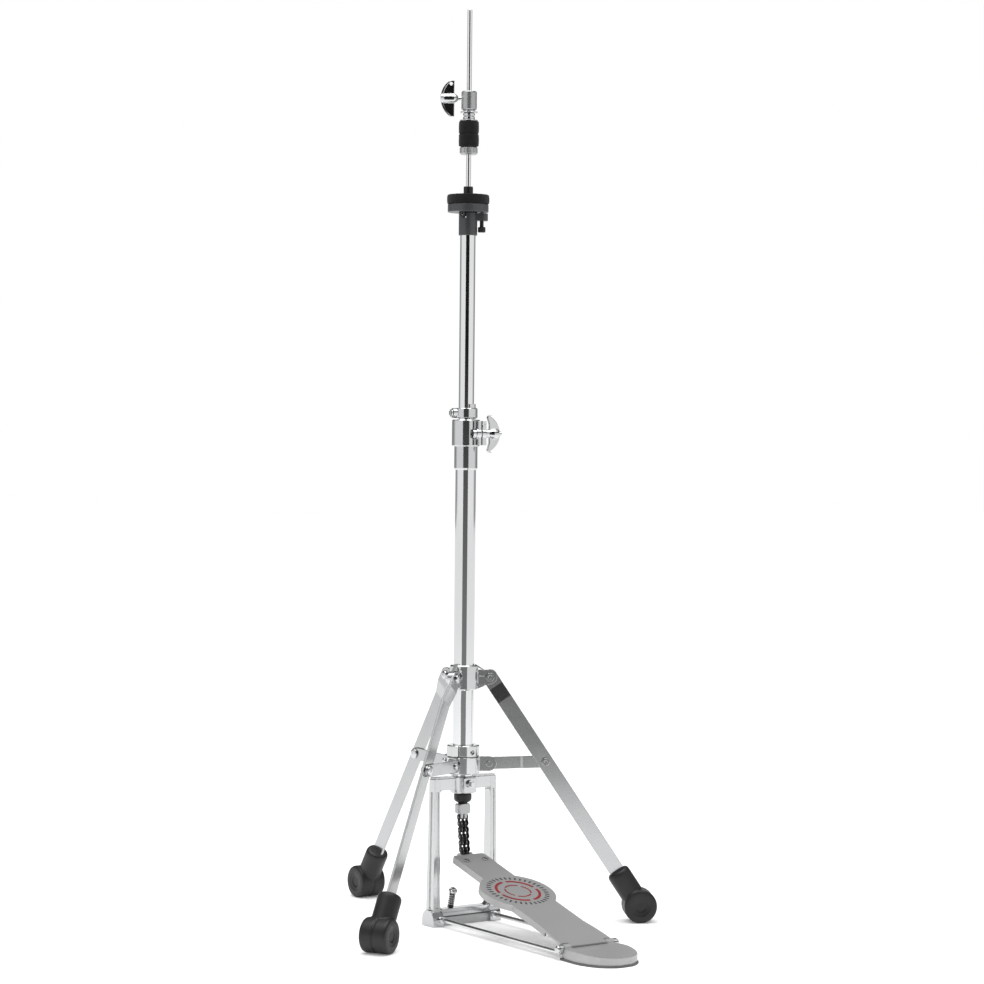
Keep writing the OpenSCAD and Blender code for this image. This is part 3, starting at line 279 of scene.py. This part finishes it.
def lacquered(name, colour, roughness, bead_mm, metallic=0.55, bevel=0.7 * mm):
    """Silver lacquer on a bead-blasted face, its beads drawn bead_mm across so that they show."""
    material, tree, out = blank_material(name)
    where = add(tree, "ShaderNodeTexCoord")
    beads = add(tree, "ShaderNodeTexVoronoi", {"Vector": where.outputs["Object"]}, Scale=1 / (bead_mm * mm))
    flow = add(tree, "ShaderNodeTexNoise", {"Vector": where.outputs["Object"]}, Scale=14.0, Detail=5.0)
    tone = add(tree, "ShaderNodeMix", {"Factor": flow.outputs["Fac"]}, data_type="RGBA")
    tone.inputs[6].default_value = [c * 0.94 for c in linear(colour)[:3]] + [1]
    tone.inputs[7].default_value = [min(1, c * 1.06) for c in linear(colour)[:3]] + [1]
    spread = add(tree, "ShaderNodeMapRange", {"Value": flow.outputs["Fac"]})
    spread.inputs["To Min"].default_value = roughness * 0.9
    spread.inputs["To Max"].default_value = roughness * 1.15
    rounded = add(tree, "ShaderNodeBevel", Radius=bevel, samples=4)
    relief = add(tree, "ShaderNodeBump", {"Height": beads.outputs["Distance"], "Normal": rounded.outputs[0]},
                 Strength=0.12, Distance=0.05 * mm)
    coat = add(tree, "ShaderNodeBsdfPrincipled",
               {"Base Color": tone.outputs[2], "Roughness": spread.outputs["Result"],
                "Normal": relief.outputs[0]}, Metallic=metallic)
    coat.inputs["Coat Weight"].default_value = 0.15
    coat.inputs["Coat Roughness"].default_value = 0.25
    tree.links.new(coat.outputs[0], out.inputs["Surface"])
    return material


silver_lacquer = lacquered("silver_lacquer", silver_lacquer_colour, 0.42, 0.5)
satin_alloy = lacquered("satin_alloy", "#A9AAAB", 0.30, 0.4, metallic=0.85)
dress(["footboard", "heel_plate", "toe_bracket"], silver_lacquer)
dress(["base_channel", "chain_connector", "clutch_body", "clutch_bottom_nut"], satin_alloy)

# ---- Small steel: the toe screws are zinc-plated, a soft bright silver; the spur is chromed; its spring is
# black-oxide wire, nearly black with a soft shine.
black_oxide = plated("black_oxide", "#2C2C2D", 0.26, 1.0, 0.05)
screw_zinc = plated("screw_zinc", "#B9BABB", 0.2, 1.0, 0.05)
dress(["toe_screws"], screw_zinc)
dress(["spur_screw"], casting_chrome)

# ---- Tilter and seat disc: die castings under a dark grey powder coat, with its fine orange peel.
powder_coat = lacquered("powder_coat", "#3C3D3F", 0.38, 0.9, metallic=0.25)
dress(["tilter_body", "seat_disc"], powder_coat)

# ---- Bushes inside the tubes: natural acetal, a waxy white that hardly shows.
acetal = lacquered("acetal", "#E4E3DC", 0.45, 1.5, metallic=0.0)
dress(["tube_bush", "rod_guide"], acetal)

# ---- Return spring inside the lower tube: oiled spring steel.
spring_steel = plated("spring_steel", "#77797B", 0.24, 0.8, 0.05)
dress(["return_spring"], spring_steel)

# ---- Moulded rubber: heel base, bumper, seat sleeve and tilt knob. Black, matt where it is rubbed,
# with the dull sheen of a moulding skin.


def moulded(name, colour, roughness, pore_mm, relief_strength=0.25):
    """Moulded rubber or hard plastic, its skin's pores drawn pore_mm apart."""
    material, tree, out = blank_material(name)
    where = add(tree, "ShaderNodeTexCoord")
    pores = add(tree, "ShaderNodeTexNoise", {"Vector": where.outputs["Object"]}, Scale=1 / (pore_mm * mm),
                Detail=4.0)
    bloom = add(tree, "ShaderNodeTexNoise", {"Vector": where.outputs["Object"]}, Scale=45.0, Detail=3.0)
    tone = add(tree, "ShaderNodeMix", {"Factor": bloom.outputs["Fac"]}, data_type="RGBA")
    tone.inputs[6].default_value = [c * 0.75 for c in linear(colour)[:3]] + [1]
    tone.inputs[7].default_value = [c * 1.35 for c in linear(colour)[:3]] + [1]
    rubbed = add(tree, "ShaderNodeMapRange", {"Value": bloom.outputs["Fac"]})
    rubbed.inputs["To Min"].default_value = roughness * 0.85
    rubbed.inputs["To Max"].default_value = min(1.0, roughness * 1.2)
    relief = add(tree, "ShaderNodeBump", {"Height": pores.outputs["Fac"]}, Strength=relief_strength,
                 Distance=0.15 * mm)
    skin = add(tree, "ShaderNodeBsdfPrincipled",
               {"Base Color": tone.outputs[2], "Roughness": rubbed.outputs["Result"],
                "Normal": relief.outputs[0]})
    skin.inputs["Specular IOR Level"].default_value = 0.4
    tree.links.new(skin.outputs[0], out.inputs["Surface"])
    return material


foot_rubber = moulded("foot_rubber", "#1A1A1B", 0.42, 0.9)
soft_black = moulded("soft_black", "#151516", 0.36, 1.4, 0.15)
base_rubber = moulded("base_rubber", "#5A5B5B", 0.6, 1.0)
dress(["heel_base"], base_rubber)
dress(["rod_bumper", "seat_sleeve", "tilt_screw"], soft_black)

# ---- Rubber feet: each is one moulding, a roll on which the leg stands and a socket that takes the
# end of the flat bar. The roll has a parting rib round its middle and dished ends with a hub.
roll_radius = 20.5
roll_half = 17.5
socket_radius = 15.0
socket_reach = 51.0
foot_circle = 220.0


def turned_mesh(outline, steps=72):
    """Turns a closed outline of (radius, height) points, in millimetres, about the z axis."""
    shape = bmesh.new()
    rings = [[shape.verts.new((r * math.cos(a) * mm, r * math.sin(a) * mm, z * mm))
              for a in (2 * math.pi * i / steps for i in range(steps))] for r, z in outline]
    for ring, following in zip(rings, rings[1:] + rings[:1]):
        for i in range(steps):
            j = (i + 1) % steps
            shape.faces.new((ring[i], ring[j], following[j], following[i]))
    bmesh.ops.remove_doubles(shape, verts=shape.verts, dist=1e-7)
    bmesh.ops.dissolve_degenerate(shape, edges=shape.edges, dist=1e-7)
    bmesh.ops.recalc_face_normals(shape, faces=shape.faces)
    return shape


def piece_from(shape, name, material, smooth=True):
    """Makes an object of a bmesh, with its finish."""
    mesh = bpy.data.meshes.new(name)
    shape.to_mesh(mesh)
    shape.free()
    mesh.materials.append(material)
    for face in mesh.polygons:
        face.use_smooth = smooth
    piece = bpy.data.objects.new(name, mesh)
    bpy.context.scene.collection.objects.link(piece)
    return piece


def settle(piece, *modifiers):
    """Adds modifiers as (kind, settings) and makes their result the piece's own mesh."""
    for kind, settings in modifiers:
        modifier = piece.modifiers.new(kind, kind)
        for name, value in settings.items():
            setattr(modifier, name, value)
    bpy.context.view_layer.update()
    result = bpy.data.meshes.new_from_object(piece.evaluated_get(bpy.context.evaluated_depsgraph_get()))
    piece.modifiers.clear()
    piece.data = result


def foot_shape():
    """The foot with the roll's centre at the origin, its axle along y and its socket along -x."""
    r, h = roll_radius, roll_half
    roll = turned_mesh([(0, -h + 2.0), (6.5, -h + 2.0), (7.5, -h + 0.8), (10.5, -h + 0.8), (11.5, -h),
                        (r - 3.2, -h), (r - 1.0, -h + 0.8), (r - 0.1, -h + 2.6), (r, -h + 4), (r, -1.8),
                        (r - 1.4, -0.9), (r - 1.4, 0.9), (r, 1.8), (r, h - 4), (r - 0.1, h - 2.6),
                        (r - 1.0, h - 0.8), (r - 3.2, h), (11.5, h), (10.5, h - 0.8), (7.5, h - 0.8),
                        (6.5, h - 2.0), (0, h - 2.0)])
    roll.transform(Matrix.Rotation(math.pi / 2, 4, "X"))
    s, top_end = socket_radius, socket_reach
    socket = turned_mesh([(0, 4), (s - 0.6, 4), (s - 0.6, top_end - 6), (s - 1.0, top_end - 3),
                          (s - 2.2, top_end - 1), (s - 4.4, top_end - 0.1), (0, top_end - 0.1)])
    socket.transform(Matrix.Rotation(-math.pi / 2, 4, "Y"))
    mesh = bpy.data.meshes.new("socket")
    socket.to_mesh(mesh)
    socket.free()
    roll.from_mesh(mesh)
    return roll


leg_turns = {joint["name"][4:-6]: joint for joint in frame["joints"] if joint["name"].startswith("leg_")
             and joint["type"] == "hinge"}
for side, joint in leg_turns.items():
    pivot = Vector(joint["pos_m"])
    outward = Vector((pivot.x, pivot.y, 0)).normalized()
    axle = Vector(joint["axis"])
    foot = piece_from(foot_shape(), "rubber_foot_" + side, foot_rubber)
    settle(foot, ("REMESH", {"mode": "VOXEL", "voxel_size": 0.9 * mm, "use_smooth_shade": True}),
           ("SMOOTH", {"factor": 0.4, "iterations": 1}))
    centre = outward * foot_circle * mm + upright * roll_radius * mm
    along = (centre - pivot).normalized()
    turn = Matrix((along, axle, along.cross(axle))).transposed().to_4x4()
    foot.data.transform(Matrix.Translation(centre) @ turn)
    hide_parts("foot_" + side)
    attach(foot, "leg_%s_arm" % side)

# ---- Felts: wool felt punched into rings, dyed black. The cut edges are soft and a little hairy, so
# nothing on them shines, and the faces sink slightly under the cymbal's nut.
felt_fuzz = 0.22


def wool_felt():
    """Dyed wool felt: dull, with matted fibres about a millimetre long lying every way."""
    material, tree, out = blank_material("wool_felt")
    where = add(tree, "ShaderNodeTexCoord")
    fibres = add(tree, "ShaderNodeTexNoise", {"Vector": where.outputs["Object"]}, Scale=900.0, Detail=6.0,
                 Roughness=0.7)
    clumps = add(tree, "ShaderNodeTexNoise", {"Vector": where.outputs["Object"]}, Scale=160.0, Detail=4.0)
    tone = add(tree, "ShaderNodeMix", {"Factor": clumps.outputs["Fac"]}, data_type="RGBA")
    tone.inputs[6].default_value = linear("#070707")
    tone.inputs[7].default_value = linear("#171718")
    nap = add(tree, "ShaderNodeBump", {"Height": fibres.outputs["Fac"]}, Strength=0.7, Distance=0.35 * mm)
    wool = add(tree, "ShaderNodeBsdfPrincipled", {"Base Color": tone.outputs[2], "Normal": nap.outputs[0]},
               Roughness=0.95)
    wool.inputs["Sheen Weight"].default_value = 0.08
    wool.inputs["Sheen Roughness"].default_value = 0.6
    wool.inputs["Specular IOR Level"].default_value = 0.15
    tree.links.new(wool.outputs[0], out.inputs["Surface"])
    return material


felt_cloth = wool_felt()


def felt_ring(name, outer, bore, low_z, high_z, rim):
    """A felt ring between two heights, in millimetres, its corners rounded by rim."""
    corner = [(math.cos(a), math.sin(a)) for a in (math.pi / 2 * i / 5 for i in range(6))]
    section = [(outer - rim + rim * c, high_z - rim + rim * s) for c, s in reversed(corner)]
    section += [(outer + 0.25, z) for z in (high_z - (high_z - low_z) / 3, low_z + (high_z - low_z) / 3)]
    section += [(outer - rim + rim * c, low_z + rim - rim * s) for c, s in corner]
    face = [outer - rim - (outer - rim - bore) * i / 6 for i in range(1, 7)]
    section += [(r, low_z) for r in face] + [(r, high_z) for r in reversed(face)]
    shape = turned_mesh(section, steps=180)
    bmesh.ops.subdivide_edges(shape, edges=[e for e in shape.edges if e.calc_length() > 1.6 * mm], cuts=1,
                              use_grid_fill=True)
    shape.normal_update()
    for vert in shape.verts:
        radius = math.hypot(vert.co.x, vert.co.y)
        if radius > (bore + 0.4) * mm:
            wave = noise.noise(vert.co * 900) * 0.6 + noise.noise(vert.co * 260) * 0.8
            vert.co += vert.normal * wave * felt_fuzz * mm
    return piece_from(shape, name, felt_cloth)


low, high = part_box("seat_felt")
seat_pad = felt_ring("seat_felt_ring", (high[0] - low[0]) / 2 / mm - 0.4, 6.1, low[2] / mm + 0.15,
                     high[2] / mm - 0.15, 1.5)
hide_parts("seat_felt")
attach(seat_pad, "cymbal_seat")

low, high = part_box("clutch_felts")
half_way = (low[2] + high[2]) / 2
for name, z0, z1 in (("clutch_felt_lower", low[2], half_way), ("clutch_felt_upper", half_way, high[2])):
    pad = felt_ring(name, (high[0] - low[0]) / 2 / mm - 0.4, 4.8, z0 / mm + 0.2, z1 / mm - 0.2, 1.3)
    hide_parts("clutch_felts")
    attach(pad, "clutch")

# ---- Chain: two strands side by side. Figure-of-eight plates are blanked from strip and tumbled, the
# pins are riveted over, and the rollers turn on them; all of it is oiled dark steel. The top pin sits in
# the connector's tongues, so it has no rollers.
chain_steel = plated("chain_steel", "#2A2A2B", 0.3, 0.7, 0.08, bevel=0.2 * mm)
pin_steel = plated("pin_steel", "#8A8C8E", 0.2, 0.7, 0.05, bevel=0.2 * mm)
chain_pitch = 8.0
chain_lean = math.radians(7.0)
links_between = 6
strand_centre = 2.85
plate_round = 3.5
plate_waist = 2.35
plate_thick = 0.8
inner_row = 1.9
outer_row = 2.85

swing = next(j for j in frame["joints"] if j["name"] == "chain_swing")
hang = Matrix.Translation(Vector(swing["pos_m"])) @ Matrix.Rotation(-chain_lean, 4, "X")


def link_plate(shape, x, drop):
    """One plate at x, from the pin at height -drop down to the next, with a nipped-in waist."""
    outline = []
    steps = 14
    for end, way in ((0, 1), (-chain_pitch, -1)):
        for i in range(steps + 1):
            a = math.radians(-38) + math.radians(256) * i / steps
            outline.append((way * plate_round * math.cos(a), end + way * plate_round * math.sin(a)))
        outline.append((-way * plate_waist, -chain_pitch / 2))
    faces = []
    for side in (-0.5, 0.5):
        ring = [shape.verts.new(((x + side * plate_thick) * mm, y * mm, (z - drop) * mm)) for y, z in outline]
        faces.append(ring)
    shape.faces.new(faces[0])
    shape.faces.new(list(reversed(faces[1])))
    count = len(outline)
    for i in range(count):
        j = (i + 1) % count
        shape.faces.new((faces[0][j], faces[0][i], faces[1][i], faces[1][j]))


def rod_along_x(shape, x0, x1, radius, height, steps=28, dome=0.25):
    """A round bar along x between two ends, each slightly domed."""
    outline = [(0, x0), (radius * 0.7, x0 + 0.05), (radius, x0 + dome), (radius, x1 - dome),
               (radius * 0.7, x1 - 0.05), (0, x1)]
    bar = turned_mesh(outline, steps)
    bar.transform(Matrix.Translation((0, 0, height * mm)) @ Matrix.Rotation(math.pi / 2, 4, "Y"))
    mesh = bpy.data.meshes.new("bar")
    bar.to_mesh(mesh)
    bar.free()
    shape.from_mesh(mesh)


plates = bmesh.new()
for link in range(links_between):
    rows = (-strand_centre - outer_row, 0, strand_centre + outer_row) if link % 2 == 0 else \
        [s * strand_centre + e * inner_row for s in (-1, 1) for e in (-1, 1)]
    for row in rows:
        link_plate(plates, row, link * chain_pitch)
bmesh.ops.recalc_face_normals(plates, faces=plates.faces)
plates.transform(hang)
chain_links = piece_from(plates, "chain_link_plates", chain_steel, smooth=False)
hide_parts("chain_plates")
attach(chain_links, "chain")

pins = bmesh.new()
for pin in range(links_between + 1):
    rod_along_x(pins, -7.0, 7.0, 1.15, -pin * chain_pitch)
    for strand in (-strand_centre, strand_centre) if pin else ():
        rod_along_x(pins, strand - 1.4, strand + 1.4, 2.5, -pin * chain_pitch)
pins.transform(hang)
chain_rollers = piece_from(pins, "chain_pins_and_rollers", pin_steel)
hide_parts("chain_pins")
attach(chain_rollers, "chain")

# ---- Spur spring: round music wire between the sill and the spur's head, so the screw can't rattle.


def wire_coil(radius, wire, height, turns, steps=28, sides=12, closed_turns=0.8):
    """A compression spring standing on the origin, its end turns lying closed, in millimetres."""
    shape = bmesh.new()
    total = int(turns * steps)
    rings = []
    for i in range(total + 1):
        turn = i / steps
        open_turns = turns - 2 * closed_turns
        rise = min(max(turn - closed_turns, 0), open_turns) / open_turns
        z = wire / 2 + closed_turns * wire * min(turn / closed_turns, 1)
        z += (height - wire - 2 * closed_turns * wire) * rise
        z += closed_turns * wire * max(0, turn - turns + closed_turns) / closed_turns
        a = 2 * math.pi * turn
        ring = []
        for k in range(sides):
            b = 2 * math.pi * k / sides
            r = radius + wire / 2 * math.cos(b)
            ring.append(shape.verts.new((r * math.cos(a) * mm, r * math.sin(a) * mm,
                                         (z + wire / 2 * math.sin(b)) * mm)))
        rings.append(ring)
    for ring, following in zip(rings, rings[1:]):
        for k in range(sides):
            m = (k + 1) % sides
            shape.faces.new((ring[k], ring[m], following[m], following[k]))
    shape.faces.new(list(reversed(rings[0])))
    shape.faces.new(rings[-1])
    bmesh.ops.recalc_face_normals(shape, faces=shape.faces)
    return shape


spur_foot = Vector((-17 * mm, 0, 20 * mm))
spur_lean = math.radians(14)
stand_spur = Matrix.Translation(spur_foot) @ Matrix.Rotation(spur_lean, 4, "X")
coil = wire_coil(3.5, 1.05, 19.0, 7.6)
coil.transform(stand_spur @ Matrix.Translation((0, 0, 0.3 * mm)))
spur_coil = piece_from(coil, "spur_coil", black_oxide)
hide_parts("spur_spring")
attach(spur_coil, "column")

# ---- Disc print: three rings screened on the footboard in red, and a ring of dark ticks for grip.
print_red = moulded("print_red", "#84191E", 0.5, 0.8, 0.1)
print_black = moulded("print_black", "#3A3A3A", 0.5, 0.8, 0.1)
hinge = next(j for j in frame["joints"] if j["name"] == "pedal_hinge")
low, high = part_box("footboard_rings")
disc_centre = (Vector(low) + Vector(high)) / 2
from_hinge = disc_centre - Vector(hinge["pos_m"])
print_lift = 5.36 * mm  # the print's mid-thickness above the hinge's plane
hinge_reach = math.hypot(from_hinge.y, from_hinge.z)
slope = math.atan2(from_hinge.z, from_hinge.y) - math.asin(print_lift / hinge_reach)
on_disc = Matrix.Translation(disc_centre) @ Matrix.Rotation(slope, 4, "X")


def ring_sectors(radius, width, count, first, share, thick=0.24, steps=16):
    """Broken ring on the disc's face: count sectors, each filling a share of its pitch."""
    shape = bmesh.new()
    for k in range(count):
        start = math.radians(first + 360 * k / count)
        sweep = math.radians(360 / count * share)
        cut = max(2, int(steps * share * 12 / count))
        rows = []
        for i in range(cut + 1):
            a = start + sweep * i / cut
            rows.append([shape.verts.new((r * math.cos(a) * mm, r * math.sin(a) * mm, z * mm))
                         for r, z in ((radius - width / 2, -thick / 2), (radius + width / 2, -thick / 2),
                                      (radius + width / 2, thick / 2), (radius - width / 2, thick / 2))])
        for row, following in zip(rows, rows[1:]):
            for e in range(4):
                f = (e + 1) % 4
                shape.faces.new((row[e], row[f], following[f], following[e]))
        shape.faces.new(list(reversed(rows[0])))
        shape.faces.new(rows[-1])
    bmesh.ops.recalc_face_normals(shape, faces=shape.faces)
    shape.transform(on_disc)
    return shape


for name, ink, sizes in (("print_ring_wide", print_red, (26.5, 3.4, 4, 12, 0.86)),
                         ("print_ring_narrow", print_red, (15.8, 1.8, 4, 57, 0.84)),
                         ("print_ticks", print_black, (35.5, 5.4, 36, 0, 0.34))):
    mark = piece_from(ring_sectors(*sizes), name, ink, smooth=False)
    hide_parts("footboard_rings")
    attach(mark, "pedal")

# ---- Clutch wing screw: a cast wing on a turned shank, plated. The wing is a D with a round hole
# near its top, a thick rim and a hollowed face.


def plate_of(outline, thick, holes=()):
    """A flat plate in the x-z plane from an outline in millimetres, thick through y."""
    curve = bpy.data.curves.new("outline", "CURVE")
    curve.dimensions = "2D"
    curve.fill_mode = "BOTH"
    for loop in (outline,) + tuple(holes):
        line = curve.splines.new("POLY")
        line.points.add(len(loop) - 1)
        for point, (x, z) in zip(line.points, loop):
            point.co = (x * mm, z * mm, 0, 1)
        line.use_cyclic_u = True
    curve.extrude = (thick / 2 - 0.5) * mm
    curve.bevel_depth = 0.5 * mm
    curve.bevel_resolution = 3
    curve.offset = -0.5 * mm
    holder = bpy.data.objects.new("outline", curve)
    bpy.context.scene.collection.objects.link(holder)
    bpy.context.view_layer.update()
    flat = bpy.data.meshes.new_from_object(holder.evaluated_get(bpy.context.evaluated_depsgraph_get()))
    bpy.data.objects.remove(holder)
    shape = bmesh.new()
    shape.from_mesh(flat)
    bmesh.ops.remove_doubles(shape, verts=shape.verts, dist=1e-6)
    shape.transform(Matrix.Rotation(math.pi / 2, 4, "X"))
    bmesh.ops.recalc_face_normals(shape, faces=shape.faces)
    return shape


def join(shape, other):
    mesh = bpy.data.meshes.new("joined")
    other.to_mesh(mesh)
    other.free()
    shape.from_mesh(mesh)


def arc(cx, cz, radius, start, end, steps):
    """Points on an arc, angles in degrees."""
    return [(cx + radius * math.cos(math.radians(start + (end - start) * i / steps)),
             cz + radius * math.sin(math.radians(start + (end - start) * i / steps)))
            for i in range(steps + 1)]


def place_on_joint(shape, joint):
    """Puts a part built along +x onto a joint's axis."""
    way = Vector(joint["axis"]).normalized()
    turn = Matrix.Rotation(math.atan2(way.y, way.x), 4, "Z")
    shape.transform(Matrix.Translation(Vector(joint["pos_m"])) @ turn)


clutch_turn = next(j for j in frame["joints"] if j["name"] == "clutch_screw_turn")
wing_x = 17.5
wing_bow = 17.4
wing_half = 22.0
bow_radius = (25.5 ** 2 + wing_bow ** 2) / (2 * wing_bow)
bow_centre = wing_x + wing_bow - bow_radius
bow_angle = math.degrees(math.asin(wing_half / bow_radius))
d_outline = [(wing_x + 0.6, -wing_half)] + arc(bow_centre, 0, bow_radius, -bow_angle, bow_angle, 32) + \
    [(wing_x + 0.6, wing_half)]
wing = plate_of(d_outline, 3.6, holes=[arc(wing_x + 4.6, 18.0, 1.9, 0, 345, 23)])
rim_outline = arc(bow_centre, 0, bow_radius, -bow_angle * 0.94, bow_angle * 0.94, 28)
rim_inner = arc(bow_centre - 2.6, 0, bow_radius, bow_angle * 0.94, -bow_angle * 0.94, 28)
join(wing, plate_of(rim_outline + rim_inner, 5.2))
shank = turned_mesh([(0, 3.3), (2.15, 3.3), (2.15, wing_x - 4.2), (4.4, wing_x - 2.4), (5.9, wing_x + 1),
                     (5.9, wing_x + 15.5), (4.6, wing_x + 17.4), (0, wing_x + 17.6)], 48)
shank.transform(Matrix.Rotation(math.pi / 2, 4, "Y"))
join(wing, shank)
place_on_joint(wing, clutch_turn)
clutch_wing = piece_from(wing, "clutch_wing", casting_chrome)
settle(clutch_wing, ("EDGE_SPLIT", {"split_angle": math.radians(40)}))
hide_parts("clutch_wing_screw")
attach(clutch_wing, "clutch_screw")

# ---- Clamp wing nut: two ears that sweep up and down from a barrel, cast and plated.
clamp_turn = next(j for j in frame["joints"] if j["name"] == "clamp_nut_turn")
nut_x = 17.7
ear_outline = [(nut_x + 4.5, -6), (nut_x + 4.6, -11)] + arc(nut_x + 6.3, -18.6, 4.6, 200, 290, 8) + \
    arc(nut_x - 6.0, 0, 24.2, -62, 62, 36) + arc(nut_x + 6.3, 18.6, 4.6, 70, 160, 8) + \
    [(nut_x + 4.6, 11), (nut_x + 4.5, 6)]
nut = plate_of(ear_outline, 4.4)
barrel = turned_mesh([(3.08, nut_x), (5.1, nut_x), (5.1, nut_x + 6), (6.6, nut_x + 9), (6.6, nut_x + 14),
                      (5.0, nut_x + 16.6), (3.08, nut_x + 16.6)], 48)
barrel.transform(Matrix.Rotation(math.pi / 2, 4, "Y"))
join(nut, barrel)
place_on_joint(nut, clamp_turn)
wing_nut = piece_from(nut, "clamp_wing", casting_chrome)
settle(wing_nut, ("EDGE_SPLIT", {"split_angle": math.radians(40)}))
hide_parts("clamp_wing_nut")
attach(wing_nut, "clamp_nut")
